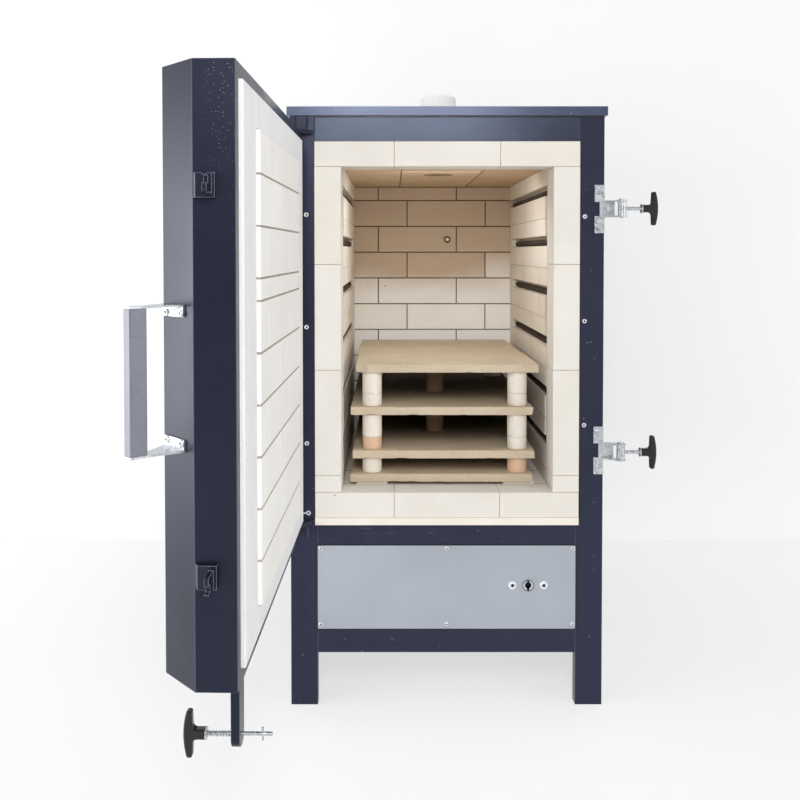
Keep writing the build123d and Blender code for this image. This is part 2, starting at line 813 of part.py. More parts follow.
# Door, drawn closed: s runs from the hinge axis to the free edge, q towards the kiln
door_far = body_half + DOOR_OVER - hinge_x
door_low = z_floor - DOOR_BELOW_OPENING
door_high = z_lintel + DOOR_ABOVE_OPENING
edge_q = DOOR_RIM - DOOR_EDGE
outer_q = edge_q - DOOR_CHAMFER
plug_q = DOOR_RIM + PLUG_PROUD
plug_back_q = plug_q - BRICK_THICK
plug_near = -CHAMBER_HALF + PLUG_GAP - hinge_x
plug_far = CHAMBER_HALF - PLUG_GAP - hinge_x
plug_low = z_floor + PLUG_GAP
plug_high = z_lintel - PLUG_GAP


def door_outline(inset, back):
    """Plan of the door at one inset from its skin, from the rim or a deeper level back."""
    slope = inset * (sqrt(2) - 1)
    return [
        (DOOR_NEAR + inset, back),
        (door_far - inset, back),
        (door_far - inset, edge_q + slope),
        (door_far - DOOR_CHAMFER - slope, outer_q + inset),
        (DOOR_NEAR + DOOR_CHAMFER + slope, outer_q + inset),
        (DOOR_NEAR + inset, edge_q + slope),
    ]


def casing():
    """Pressed steel casing, open to the kiln, with a lip turned in round the rim."""
    shell = plate(door_outline(0, DOOR_RIM), door_low, door_high)
    shell -= plate(door_outline(DOOR_SKIN, DOOR_RIM - DOOR_SKIN), door_low + DOOR_SKIN, door_high - DOOR_SKIN)
    mouth = block(
        DOOR_NEAR + RIM_LIP, door_far - RIM_LIP, DOOR_RIM - 2 * DOOR_SKIN, DOOR_RIM + 1,
        door_low + RIM_LIP, door_high - RIM_LIP,
    )
    return shell - mouth


def door_lining():
    """Bricks of the door plug, laid flat, with one thin course."""
    heights = [PLUG_FIRST_COURSE, BRICK_THICK, BRICK_THICK, PLUG_THIN_COURSE]
    marks = [plug_high]
    for tall in heights:
        marks.append(marks[-1] - tall)
    while marks[-1] - BRICK_THICK > plug_low + LEAST_CLOSER:
        marks.append(marks[-1] - BRICK_THICK)
    marks.append(plug_low)
    bricks = []
    for number, (high, low) in enumerate(zip(marks, marks[1:])):
        joint = PLUG_JOINT_EVEN if number % 2 else PLUG_JOINT_ODD
        for near, far in lengths(plug_near, plug_far, joint, BRICK_LONG):
            bricks.append(block(near, far, plug_back_q, plug_q, low + BRICK_GAP / 2, high - BRICK_GAP / 2))
    return bricks


def door_fibre():
    """Four fibre strips round the plug, standing proud of the casing's lip, and the board behind them."""
    skin = DOOR_SKIN + SEAT
    lip = RIM_LIP + SEAT
    filling = plate(door_outline(skin, DOOR_RIM - skin), door_low + skin, door_high - skin)
    near = DOOR_NEAR + lip
    far = door_far - lip
    proud = DOOR_RIM + RIM_PROUD
    filling += block(near, far, DOOR_RIM - 2 * skin, proud, door_low + lip, door_high - lip)
    board = filling - block(DOOR_NEAR, door_far, plug_back_q - SEAT, plug_q, door_low, door_high)
    spans = (
        (DOOR_NEAR, plug_near - SEAT, door_low, door_high),
        (plug_far + SEAT, door_far, door_low, door_high),
        (plug_near, plug_far, door_low, plug_low - SEAT),
        (plug_near, plug_far, plug_high + SEAT, door_high),
    )
    strips = [filling & block(s0, s1, plug_back_q, plug_q, z0, z1) for s0, s1, z0, z1 in spans]
    return strips, board


def keeper(level, up):
    """Keeper on the free edge: a bevelled base and a tine notched for the swing bolt."""
    base_ends = sorted((level + up * KEEPER_BASE_PAST, level - up * KEEPER_BASE_INNER))
    tine_ends = sorted((level + up * KEEPER_TINE_PAST, level - up * KEEPER_TINE_INNER))
    base = plate(
        [
            (door_far, KEEPER_BASE_LOW_Q),
            (door_far, KEEPER_BASE_HIGH_Q),
            (door_far + KEEPER_BASE, KEEPER_BASE_HIGH_Q),
            (door_far + KEEPER_BASE, KEEPER_BASE_LOW_Q + KEEPER_BASE / 2),
        ],
        *base_ends,
    )
    low_q = KEEPER_Q - KEEPER_TINE / 2
    high_q = KEEPER_Q + KEEPER_TINE / 2
    tine = block(door_far, door_far + KEEPER_OUT, low_q, high_q, *tine_ends)
    tine = fillet(tine.edges().filter_by(Axis.Y).sort_by(Axis.X)[-2:], KEEPER_ROUND)
    pivot_s = body_half + LATCH_PIVOT_OUT - hinge_x
    inner = pivot_s - BOLT_RADIUS - NOTCH_GAP
    outer = door_far + KEEPER_OUT + 1
    half = KEEPER_NOTCH / 2
    notch = block(inner, outer, low_q - 1, high_q + 1, level - half, level + half)
    return base + tine - notch


# The chamfered free edge has its own axes: out along its normal, and across it
chamfer_face = Plane(
    origin=(door_far - DOOR_CHAMFER / 2, edge_q - DOOR_CHAMFER / 2, 0), x_dir=(-1, -1, 0), z_dir=(0, 0, 1)
)


def on_chamfer(shape):
    """Place a shape drawn with x across the chamfer and y out from it."""
    return chamfer_face * shape


def handle():
    """Rectangular grip between two folded arms screwed to the chamfer."""
    reach = HANDLE_GAP + GRIP_DEEP
    half = GRIP_THICK / 2
    arm_plan = [
        (ARM_FLANGE_LOW, 0),
        (ARM_FLANGE_HIGH, 0),
        (half, HANDLE_GAP),
        (half, reach),
        (-half, reach),
        (-half, HANDLE_GAP),
    ]
    arms = []
    screws = []
    for z0, up in ((HANDLE_LOW_Z, 1), (HANDLE_LOW_Z + HANDLE_TALL, -1)):
        z1 = z0 + up * ARM_THICK
        arm = plate(arm_plan, min(z0, z1), max(z0, z1))
        z2 = z0 + up * ARM_FLANGE_TALL
        arm += block(ARM_FLANGE_LOW, ARM_FLANGE_HIGH, 0, ARM_THICK, min(z0, z2), max(z0, z2))
        arms.append(on_chamfer(arm))
        z = z0 + up * ARM_SCREW_RISE
        for x in ARM_SCREWS:
            screws.append(on_chamfer(bar(SCREW_RADIUS, (x, ARM_THICK, z), (x, ARM_THICK + SCREW_HEAD, z))))
    low = HANDLE_LOW_Z + ARM_THICK
    high = HANDLE_LOW_Z + HANDLE_TALL - ARM_THICK
    grip = block(-half, half, HANDLE_GAP, reach, low, high)
    grip = fillet(grip.edges().filter_by(Axis.Z), GRIP_ROUND)
    return on_chamfer(grip), arms, screws


def key_post():
    """Flat bar under the door, its round end bored for the key."""
    back = POST_FRONT_Q + POST_THICK
    stem = block(KEY_S - POST_WIDE / 2, KEY_S + POST_WIDE / 2, POST_FRONT_Q, back, KEY_Z, door_low)
    nose = bar(POST_WIDE / 2, (KEY_S, POST_FRONT_Q, KEY_Z), (KEY_S, back, KEY_Z))
    bore = bar(KEY_ROD_RADIUS + RUN_GAP, (KEY_S, POST_FRONT_Q - 1, KEY_Z), (KEY_S, back + 1, KEY_Z))
    return stem + nose - bore


def knuckle(low, high):
    """Hinge tube on the hinge edge, welded to a strap."""
    outer = PIN_RADIUS + RUN_GAP + KNUCKLE_WALL
    shape = bar(outer, (0, 0, low), (0, 0, high))
    shape += block(DOOR_NEAR - STRAP_THICK, DOOR_NEAR, -STRAP_HALF, STRAP_HALF, low, high)
    return shape - bar(PIN_RADIUS + RUN_GAP, (0, 0, low - 1), (0, 0, high + 1))


# Key: T-handle, rod, cross pin, washer and spring
washer_q = POST_FRONT_Q - SPRING_ROOM
neck_q = washer_q - WASHER_THICK - SEAT


def tee_profile():
    """Outline of a T-handle: neck from the origin, bowed grip across the far end, drawn in XY."""
    root = TEE_LONG - TEE_THICK
    shoulder = TEE_LONG - TEE_BOW
    outline = make_face(
        [
            Line((0, -TEE_NECK), (0, TEE_NECK)),
            Polyline((0, TEE_NECK), (root, TEE_NECK), (root + 1, TEE_HALF), (shoulder, TEE_HALF)),
            ThreePointArc((shoulder, TEE_HALF), (TEE_LONG, 0), (shoulder, -TEE_HALF)),
            Polyline((shoulder, -TEE_HALF), (root + 1, -TEE_HALF), (root, -TEE_NECK), (0, -TEE_NECK)),
        ]
    )
    tips = outline.vertices().filter_by(lambda corner: abs(abs(corner.Y) - TEE_HALF) < 0.1)
    outline = fillet(tips, TEE_TIP)
    roots = outline.vertices().filter_by(lambda corner: abs(corner.X - root) < 0.1)
    return fillet(roots, TEE_WEB)


def tee_handle(bore):
    """Moulded T-handle along +X with its grip along Y, bored from the neck."""
    half = TEE_THICK / 2
    body = Pos(0, 0, -half) * extrude(tee_profile(), TEE_THICK)
    ends = body.faces().sort_by(Axis.Z)
    body = chamfer(ends[0].edges() + ends[-1].edges(), TEE_BEVEL)
    return body - bar(bore, (-1, 0, 0), (TEE_BORE, 0, 0))


def helix_wire(radius, pitch, turns):
    """Path of a spring along Z: each quarter turn is two tangent arcs."""
    rise = pitch / (2 * pi)
    speed = hypot(radius, rise)
    edges = []
    for quarter in range(int(turns * 4)):
        a0 = quarter * pi / 2
        a1 = a0 + pi / 2
        p0, p1 = [Vector(radius * cos(a), radius * sin(a), rise * a) for a in (a0, a1)]
        t0, t1 = [Vector(-radius * sin(a), radius * cos(a), rise) * (1 / speed) for a in (a0, a1)]
        chord = p1 - p0
        both = t0 + t1
        a = both.dot(both) - 4
        b = -2 * chord.dot(both)
        c = chord.dot(chord)
        reach = (-b - sqrt(b * b - 4 * a * c)) / (2 * a)
        middle = (p0 + t0 * reach + p1 - t1 * reach) * 0.5
        turn = (p1 - t1 * reach - p0 - t0 * reach).normalized()
        edges.append(TangentArc(p0, middle, tangent=t0))
        edges.append(TangentArc(middle, p1, tangent=turn))
    return Wire(edges)


def spring():
    """Compression spring round the key's rod, between washer and post."""
    room = SPRING_ROOM - SPRING_WIRE - 2 * SEAT
    pitch = room / SPRING_CURLS
    path = helix_wire(SPRING_RADIUS, pitch, SPRING_CURLS)
    start = path @ 0
    section = Plane(origin=start, z_dir=path % 0) * RegularPolygon(SPRING_WIRE / 2, SPRING_SIDES)
    coil = sweep(section, path=path)
    rise = pitch / (2 * pi)
    points = []
    for step in range(SPRING_CURLS * 90 + 1):
        angle = radians(step * 4)
        points.append((SPRING_RADIUS * cos(angle), SPRING_RADIUS * sin(angle), rise * angle))
    least = min(
        hypot(a[0] - b[0], a[1] - b[1], a[2] - b[2])
        for index, a in enumerate(points)
        for b in points[index + 60:]
    )
    print(f"key spring: {SPRING_CURLS} curls, least gap to itself {least - SPRING_WIRE:.2f} mm")
    z0 = washer_q + SEAT + SPRING_WIRE / 2
    return Plane(origin=(KEY_S, z0, KEY_Z), x_dir=(1, 0, 0), z_dir=(0, 1, 0)) * coil


def key():
    """Push-and-turn key that proves the door is shut."""
    low = (KEY_S, KEY_PIN_Q, KEY_Z - KEY_PIN_HALF)
    high = (KEY_S, KEY_PIN_Q, KEY_Z + KEY_PIN_HALF)
    rod = bar(KEY_ROD_RADIUS, (KEY_S, neck_q - TEE_BORE + 1, KEY_Z), (KEY_S, KEY_ROD_END_Q, KEY_Z))
    pin = bar(KEY_PIN_RADIUS - 0.01, low, high)
    tee = Plane(origin=(KEY_S, neck_q, KEY_Z), x_dir=(0, -1, 0), z_dir=(1, 0, 0)) * tee_handle(KEY_ROD_RADIUS)
    washer_start = (KEY_S, washer_q - WASHER_THICK, KEY_Z)
    washer = tube(WASHER_RADIUS, KEY_ROD_RADIUS + RUN_GAP, washer_start, (KEY_S, washer_q, KEY_Z))
    return rod - bar(KEY_PIN_RADIUS, low, high), pin, tee, washer


door_place = Pos(hinge_x, HINGE_Y, 0) * Rot(0, 0, -DOOR_OPEN)


def hang(name, *solids):
    """File solids drawn on the closed door at the door's open place."""
    keep(name, *[door_place * solid for solid in solids])


hang("door_casing", casing())
hang("door_bricks", *door_lining())
rim_strips, door_board = door_fibre()
hang("door_rim_fibre", *rim_strips)
hang("door_board", door_board)
hang("keepers", keeper(LATCH_HIGH_Z, 1), keeper(LATCH_LOW_Z, -1))
grip, handle_arms, handle_screws = handle()
hang("handle_grip", grip)
hang("handle_arms", *handle_arms)
hang("handle_screws", *handle_screws)
hang("key_post", key_post())
low_knuckle = knuckle(door_low, door_low + KNUCKLE_TALL)
high_knuckle = knuckle(door_high - KNUCKLE_TALL, door_high)
hang("hinge_knuckles", low_knuckle, high_knuckle)
key_rod, key_pin, key_tee, key_washer = key()
hang("key_rod", key_rod, key_pin)
hang("key_tee", key_tee)
hang("key_washer", key_washer)
hang("key_spring", spring())


def hinge_lug(seat_z, up):
    """Hinge bracket on the left column: base, nose plate beside the door's end, two gussets."""
    x1 = -body_half + LUG_WIDE
    base_y = y_frame - LUG_BASE
    z_plate = seat_z + up * LUG_THICK
    z_end = z_plate + up * LUG_BASE_TALL
    root = Pos((x1 - body_half) / 2, (base_y + y_frame) / 2) * Rectangle(LUG_WIDE, LUG_BASE)
    nose = Pos(hinge_x, HINGE_Y) * Circle(LUG_NOSE)
    plan = make_hull(root.edges() + nose.edges())
    shape = Pos(0, 0, min(seat_z, z_plate)) * extrude(plan, LUG_THICK)
    shape += block(-body_half, x1, base_y, y_frame, min(seat_z, z_end), max(seat_z, z_end))
    for share, reach in GUSSETS:
        x = -body_half + LUG_WIDE * share
        fin = [(base_y, z_plate), (base_y - reach, z_plate), (base_y, z_end)]
        shape += across(fin, x - GUSSET_THICK / 2, x + GUSSET_THICK / 2)
    bore = bar(PIN_RADIUS, (hinge_x, HINGE_Y, seat_z - LUG_THICK), (hinge_x, HINGE_Y, seat_z + LUG_THICK))
    return shape - bore


def upright(radius, z0, z1):
    """A round bar on the door's hinge axis."""
    return bar(radius, (hinge_x, HINGE_Y, min(z0, z1)), (hinge_x, HINGE_Y, max(z0, z1)))


def hinges():
    """Both lugs and their pins; the lower pin's collar carries the door."""
    low_seat = door_low - HINGE_RUN
    high_seat = door_high + HINGE_RUN
    keep("hinge_lugs", hinge_lug(low_seat, -1), hinge_lug(high_seat, 1))
    pins = []
    for seat_z, up in ((low_seat, -1), (high_seat, 1)):
        back = seat_z + up * LUG_THICK
        head = back + up * PIN_HEAD
        end = seat_z - up * PIN_IN
        pin = upright(PIN_RADIUS, head, end)
        pin += upright(PIN_RADIUS + PIN_SHOULDER, back, head)
        pin += upright(PIN_RADIUS + PIN_SHOULDER, seat_z, seat_z - up * (HINGE_RUN - SEAT))
        pins.append(pin)
    return pins


hinge_pins = hinges()

pivot_x = body_half + LATCH_PIVOT_OUT
ear_half = LATCH_EYE_TALL / 2 + SEAT


def latch_bracket(level):
    """Folded bracket on the right column: two ears round the bolt's eye, a web and two flanges."""
    y_flange = y_frame - EAR_THICK
    x0 = body_half - FLANGE_WIDE
    root = Pos(body_half - EAR_ROOT / 2, (y_flange + y_frame) / 2) * Rectangle(EAR_ROOT, EAR_THICK)
    nose = Pos(pivot_x, LATCH_PIVOT_Y) * Circle(EAR_NOSE)
    plan = make_hull(root.edges() + nose.edges())
    web_end = pivot_x - LATCH_EYE_RADIUS - WEB_GAP
    shape = block(x0 + FLANGE_WIDE / 2, web_end, y_flange, y_frame, level - ear_half, level + ear_half)
    for up in (-1, 1):
        near = level + up * ear_half
        far = near + up * EAR_THICK
        end = far + up * FLANGE_TALL
        shape += Pos(0, 0, min(near, far)) * extrude(plan, EAR_THICK)
        shape += block(x0, body_half, y_flange, y_frame, min(near, end), max(near, end))
    start = (pivot_x, LATCH_PIVOT_Y, level - ear_half - EAR_THICK - 1)
    return shape - bar(LATCH_PIN_RADIUS, start, (pivot_x, LATCH_PIVOT_Y, level + ear_half + EAR_THICK + 1))


def latch(name, level):
    """One swing bolt with its bracket pin, washer and T-handle nut, lying clear of the door."""
    y = LATCH_PIVOT_Y
    reach = ear_half + EAR_THICK
    bracket = latch_bracket(level)
    top = level + reach
    pin = bar(LATCH_PIN_RADIUS, (pivot_x, y, level - reach - LATCH_PIN_TAIL), (pivot_x, y, top))
    pin += bar(LATCH_PIN_RADIUS + PIN_SHOULDER, (pivot_x, y, top), (pivot_x, y, top + LATCH_PIN_HEAD))
    half = LATCH_EYE_TALL / 2
    eye = bar(LATCH_EYE_RADIUS, (pivot_x, y, level - half), (pivot_x, y, level + half))
    eye += bar(BOLT_RADIUS, (pivot_x, y, level), (pivot_x + BOLT_LONG, y, level))
    eye -= bar(LATCH_PIN_RADIUS + RUN_GAP, (pivot_x, y, level - 20), (pivot_x, y, level + 20))
    tine_reach = (HINGE_Y + KEEPER_Q - KEEPER_TINE / 2 - y) * -1
    washer_near = pivot_x + tine_reach + NUT_TRAVEL + SEAT
    washer_far = washer_near + WASHER_THICK
    washer = tube(WASHER_RADIUS, BOLT_RADIUS + RUN_GAP, (washer_near, y, level), (washer_far, y, level))
    tee = Plane(origin=(washer_far + SEAT, y, level), x_dir=(1, 0, 0), z_dir=(0, -1, 0))
    keep(f"latch_bolt_{name}", eye)
    keep(f"latch_washer_{name}", washer)
    keep(f"latch_tee_{name}", tee * tee_handle(BOLT_RADIUS + RUN_GAP))
    print(f"latch {name}: pivot ({pivot_x:.2f}, {y:.2f}, {level:.2f})")
    return bracket, pin


brackets = []
latch_pins = []
flange_bolts = []
for latch_name, latch_level in (("high", LATCH_HIGH_Z), ("low", LATCH_LOW_Z)):
    latch_frame, latch_pin = latch(latch_name, latch_level)
    brackets.append(latch_frame)
    latch_pins.append(latch_pin)
    for up in (-1, 1):
        bolt_z = latch_level + up * (ear_half + EAR_THICK + FLANGE_BOLT)
        flange_bolts.append(hex_head(body_half - FLANGE_WIDE / 2, y_frame - EAR_THICK, bolt_z))
keep("latch_brackets", *brackets)
keep("pivot_pins", *hinge_pins, *latch_pins)
keep("latch_flange_bolts", *flange_bolts)


def furniture():
    """Four shelves stacked on posts, the top one in two pieces with a chipped corner."""
    levels = [z_floor + SHELF_FEET]
    for gap in SHELF_GAPS:
        levels.append(levels[-1] + SHELF_THICK + gap)
    half = SHELF_WIDE / 2
    y0 = SHELF_FRONT_Y
    posts = []
    for number, low in enumerate(levels):
        x0 = SHELF_X[number] - half
        x1 = SHELF_X[number] + half
        if number < len(levels) - 1:
            keep(f"shelf_{number + 1}", block(x0, x1, y0, y0 + SHELF_LONG, low, low + SHELF_THICK))
        else:
            seam = y0 + SHELF_SPLIT
            outline = [
                (x0 + SHELF_SHIFT + CHIP_LONG, y0),
                (x1 + SHELF_SHIFT, y0),
                (x1 + SHELF_SHIFT, seam),
                (x0 + SHELF_SHIFT, seam),
                (x0 + SHELF_SHIFT, y0 + CHIP_WIDE),
                (x0 + SHELF_SHIFT + CHIP_LONG * 0.4, y0 + CHIP_WIDE * 0.7),
            ]
            back = block(x0, x1, seam + SEAT, y0 + SHELF_LONG, low, low + SHELF_THICK)
            keep("shelf_top", plate(outline, low, low + SHELF_THICK), back)
        base = z_floor if number == 0 else levels[number - 1] + SHELF_THICK
        spots = [(side * PROP_X, y) for side in (-1, 1) for y in PROP_ROWS_Y]
        spots.append((PROP_MIDDLE_X, PROP_MIDDLE_Y))
        for x, y in spots:
            if number == 0:
                foot = FOOT_HALF
                posts.append(block(x - foot, x + foot, y - PROP_RADIUS, y + PROP_RADIUS, base, low))
            elif low - base > 2 * PROP_JOINT:
                posts.append(bar(PROP_RADIUS, (x, y, base), (x, y, base + PROP_JOINT - SEAT)))
                posts.append(bar(PROP_RADIUS, (x, y, base + PROP_JOINT), (x, y, low)))
            else:
                posts.append(bar(PROP_RADIUS, (x, y, base), (x, y, low)))
    keep("shelf_props", *posts)


furniture()


def vent():
    """Collar on the lid and the loose ceramic bung that closes the vent."""
    top = z_lid_top + COLLAR_TALL
    collar = tube(VENT_RADIUS + COLLAR_WALL, VENT_RADIUS, (VENT_X, VENT_Y, z_lid_top), (VENT_X, VENT_Y, top))
    keep("vent_collar", collar)
    stem = bar(VENT_RADIUS - BUNG_GAP, (VENT_X, VENT_Y, z_ceiling), (VENT_X, VENT_Y, top + SEAT))
    head = bar(BUNG_HEAD_RADIUS, (VENT_X, VENT_Y, top + SEAT), (VENT_X, VENT_Y, top + SEAT + BUNG_HEAD_TALL))
    head = chamfer(head.faces().sort_by(Axis.Z)[-1].edges(), BUNG_BEVEL)
    keep("vent_bung", stem + head)


vent()

# The finished model stands on Z = 0 with its origin under the middle of its outline
boxes = [solid.bounding_box() for solids in nodes.values() for solid in solids]
shift_x = -(min(box.min.X for box in boxes) + max(box.max.X for box in boxes)) / 2
shift_y = -(min(box.min.Y for box in boxes) + max(box.max.Y for box in boxes)) / 2
for name, solids in nodes.items():
    placed = [Pos(shift_x, shift_y, 0) * solid for solid in solids]
    shape = placed[0] if len(placed) == 1 else Compound(children=placed)
    export_step(shape, f"parts/{name}.step")
print(f"{len(nodes)} nodes, {len(boxes)} solids")
print(f"shift of the built frame: {shift_x:.4f} {shift_y:.4f}")
print(f"levels: floor {z_floor:.2f} lintel {z_lintel:.2f} door {door_low:.2f} lid {z_lid_top:.2f}")
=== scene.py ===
import math
import random

import bmesh
import bpy
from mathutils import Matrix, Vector, noise


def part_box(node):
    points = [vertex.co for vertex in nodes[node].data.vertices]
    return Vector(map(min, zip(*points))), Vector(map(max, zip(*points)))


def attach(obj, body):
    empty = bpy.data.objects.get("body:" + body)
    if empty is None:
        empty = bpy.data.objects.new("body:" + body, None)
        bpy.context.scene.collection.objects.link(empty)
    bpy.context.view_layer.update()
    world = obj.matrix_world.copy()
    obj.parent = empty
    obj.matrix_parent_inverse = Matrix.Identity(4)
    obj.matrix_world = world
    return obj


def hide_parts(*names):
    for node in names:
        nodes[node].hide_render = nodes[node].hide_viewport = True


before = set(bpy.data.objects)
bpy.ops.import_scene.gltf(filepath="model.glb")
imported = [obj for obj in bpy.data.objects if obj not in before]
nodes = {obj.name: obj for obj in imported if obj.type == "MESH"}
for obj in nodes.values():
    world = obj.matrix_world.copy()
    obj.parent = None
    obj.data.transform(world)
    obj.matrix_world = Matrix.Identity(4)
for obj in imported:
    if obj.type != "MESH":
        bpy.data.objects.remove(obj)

scene = bpy.context.scene
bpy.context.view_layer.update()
print("frame loaded:", len(nodes), "nodes")

# kiln millimetres: x from the chamber's middle, y from the brick face, z from the floor
sillLow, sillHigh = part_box("sill_bricks")
kilnMiddle = (sillLow.x + sillHigh.x) / 2
kilnFront = sillLow.y


def at(x, y, z):
    return Vector((kilnMiddle + x / 1000, kilnFront + y / 1000, z / 1000))


def colour(text):
    # a web colour as linear light
    parts = [int(text[i:i + 2], 16) / 255 for i in (1, 3, 5)]
    return tuple(p / 12.92 if p <= 0.04045 else ((p + 0.055) / 1.055) ** 2.4 for p in parts) + (1.0,)


# node groups

def newGroup(name, inputs, outputs):
    group = bpy.data.node_groups.new(name, "ShaderNodeTree")
    for label, kind, value in inputs:
        socket = group.interface.new_socket(label, in_out="INPUT", socket_type=kind)
        if value is not None:
            socket.default_value = value
    for label, kind in outputs:
        group.interface.new_socket(label, in_out="OUTPUT", socket_type=kind)
    return group, group.nodes.new("NodeGroupInput"), group.nodes.new("NodeGroupOutput")


def noiseNode(tree, vector, scale, detail=3.0, roughness=0.55):
    node = tree.nodes.new("ShaderNodeTexNoise")
    node.inputs["Detail"].default_value = detail
    node.inputs["Roughness"].default_value = roughness
    tree.links.new(vector, node.inputs["Vector"])
    plug(tree, scale, node.inputs["Scale"])
    return node.outputs["Fac"]


def plug(tree, value, socket):
    # a number or a colour is written on the socket, anything else is linked to it
    if isinstance(value, (int, float, tuple)):
        socket.default_value = value
    else:
        tree.links.new(value, socket)


def maths(tree, operation, first, second=0.0):
    node = tree.nodes.new("ShaderNodeMath")
    node.operation = operation
    plug(tree, first, node.inputs[0])
    plug(tree, second, node.inputs[1])
    return node.outputs[0]


def ramp(tree, value, low, high, outLow=0.0, outHigh=1.0):
    node = tree.nodes.new("ShaderNodeMapRange")
    node.interpolation_type = "SMOOTHSTEP"
    plug(tree, value, node.inputs["Value"])
    plug(tree, low, node.inputs["From Min"])
    plug(tree, high, node.inputs["From Max"])
    plug(tree, outLow, node.inputs["To Min"])
    plug(tree, outHigh, node.inputs["To Max"])
    return node.outputs["Result"]


def blendColour(tree, share, first, second, mode="MIX"):
    node = tree.nodes.new("ShaderNodeMix")
    node.data_type = "RGBA"
    node.blend_type = mode
    plug(tree, share, node.inputs["Factor"])
    plug(tree, first, node.inputs["A"])
    plug(tree, second, node.inputs["B"])
    return node.outputs["Result"]


def stretched(tree, vector, scale):
    node = tree.nodes.new("ShaderNodeVectorMath")
    node.operation = "MULTIPLY"
    tree.links.new(vector, node.inputs[0])
    node.inputs[1].default_value = scale
    return node.outputs[0]


def separate(tree, vector):
    # the x, y and z of a vector
    node = tree.nodes.new("ShaderNodeSeparateXYZ")
    tree.links.new(vector, node.inputs[0])
    return node.outputs


def makeMottle():
    # broad and fine tone changes, and the same as relief
    group, enter, leave = newGroup(
        "mottle",
        [
            ("Vector", "NodeSocketVector", None), ("Broad Scale", "NodeSocketFloat", 6.0),
            ("Fine Scale", "NodeSocketFloat", 90.0), ("Fine Share", "NodeSocketFloat", 0.4),
        ],
        [("Tone", "NodeSocketFloat"), ("Height", "NodeSocketFloat")],
    )
    vector = enter.outputs["Vector"]
    broad = noiseNode(group, vector, enter.outputs["Broad Scale"], 4.0)
    fine = noiseNode(group, vector, enter.outputs["Fine Scale"], 5.0, 0.65)
    share = enter.outputs["Fine Share"]
    keep = maths(group, "SUBTRACT", 1.0, share)
    tone = maths(group, "ADD", maths(group, "MULTIPLY", broad, keep), maths(group, "MULTIPLY", fine, share))
    group.links.new(ramp(group, tone, 0.3, 0.7), leave.inputs["Tone"])
    group.links.new(fine, leave.inputs["Height"])
    return group


def makeSpecks():
    # scattered round spots: only some cells hold one, and their sizes differ
    group, enter, leave = newGroup(
        "specks",
        [
            ("Vector", "NodeSocketVector", None), ("Scale", "NodeSocketFloat", 60.0),
            ("Size", "NodeSocketFloat", 0.2), ("Share", "NodeSocketFloat", 0.3),
        ],
        [("Mask", "NodeSocketFloat")],
    )
    cells = group.nodes.new("ShaderNodeTexVoronoi")
    group.links.new(enter.outputs["Vector"], cells.inputs["Vector"])
    group.links.new(enter.outputs["Scale"], cells.inputs["Scale"])
    split = group.nodes.new("ShaderNodeSeparateColor")
    group.links.new(cells.outputs["Color"], split.inputs[0])
    size = maths(group, "MULTIPLY", enter.outputs["Size"], maths(group, "ADD", 0.35, split.outputs[1]))
    spot = ramp(group, cells.outputs["Distance"], maths(group, "MULTIPLY", size, 0.55), size, 1.0, 0.0)
    chosen = maths(group, "LESS_THAN", split.outputs[0], enter.outputs["Share"])
    group.links.new(maths(group, "MULTIPLY", spot, chosen), leave.inputs["Mask"])
    return group


def makeScratches():
    # short thin marks along one direction
    group, enter, leave = newGroup(
        "scratches",
        [
            ("Vector", "NodeSocketVector", None), ("Scale", "NodeSocketFloat", 30.0),
            ("Share", "NodeSocketFloat", 0.3),
        ],
        [("Mask", "NodeSocketFloat")],
    )
    slanted = group.nodes.new("ShaderNodeMapping")
    slanted.inputs["Rotation"].default_value = (0.5, 0.35, 0.6)
    slanted.inputs["Scale"].default_value = (0.06, 1.0, 1.0)
    group.links.new(enter.outputs["Vector"], slanted.inputs["Vector"])
    lines = noiseNode(group, slanted.outputs["Vector"], enter.outputs["Scale"], 2.0, 0.4)
    crest = maths(group, "ABSOLUTE", maths(group, "SUBTRACT", lines, 0.5))
    thin = ramp(group, crest, 0.0, 0.004, 1.0, 0.0)
    patch = noiseNode(group, enter.outputs["Vector"], 9.0, 2.0)
    limit = maths(group, "SUBTRACT", 1.0, enter.outputs["Share"])
    where = ramp(group, patch, limit, maths(group, "ADD", limit, 0.06))
    group.links.new(maths(group, "MULTIPLY", thin, where), leave.inputs["Mask"])
    return group


def makePlating():
    # fine parallel lines with a patchy crystal pattern under them
    group, enter, leave = newGroup(
        "plating",
        [
            ("Vector", "NodeSocketVector", None), ("Line Scale", "NodeSocketFloat", 900.0),
            ("Crystal Scale", "NodeSocketFloat", 160.0),
        ],
        [("Tone", "NodeSocketFloat"), ("Height", "NodeSocketFloat")],
    )
    along = stretched(group, enter.outputs["Vector"], (1.0, 1.0, 0.05))
    lines = noiseNode(group, along, enter.outputs["Line Scale"], 2.0)
    cells = group.nodes.new("ShaderNodeTexVoronoi")
    group.links.new(enter.outputs["Vector"], cells.inputs["Vector"])
    group.links.new(enter.outputs["Crystal Scale"], cells.inputs["Scale"])
    split = group.nodes.new("ShaderNodeSeparateColor")
    group.links.new(cells.outputs["Color"], split.inputs[0])
    crystal = maths(group, "MULTIPLY", split.outputs[0], 0.6)
    tone = maths(group, "ADD", crystal, maths(group, "MULTIPLY", lines, 0.4))
    group.links.new(tone, leave.inputs["Tone"])
    group.links.new(lines, leave.inputs["Height"])
    return group


groups = {
    "mottle": makeMottle(), "specks": makeSpecks(), "scratches": makeScratches(), "plating": makePlating(),
}
print("node groups:", ", ".join(groups))


def mixShaders(tree, share, first, second):
    node = tree.nodes.new("ShaderNodeMixShader")
    tree.links.new(share, node.inputs[0])
    tree.links.new(first, node.inputs[1])
    tree.links.new(second, node.inputs[2])
    return node.outputs[0]


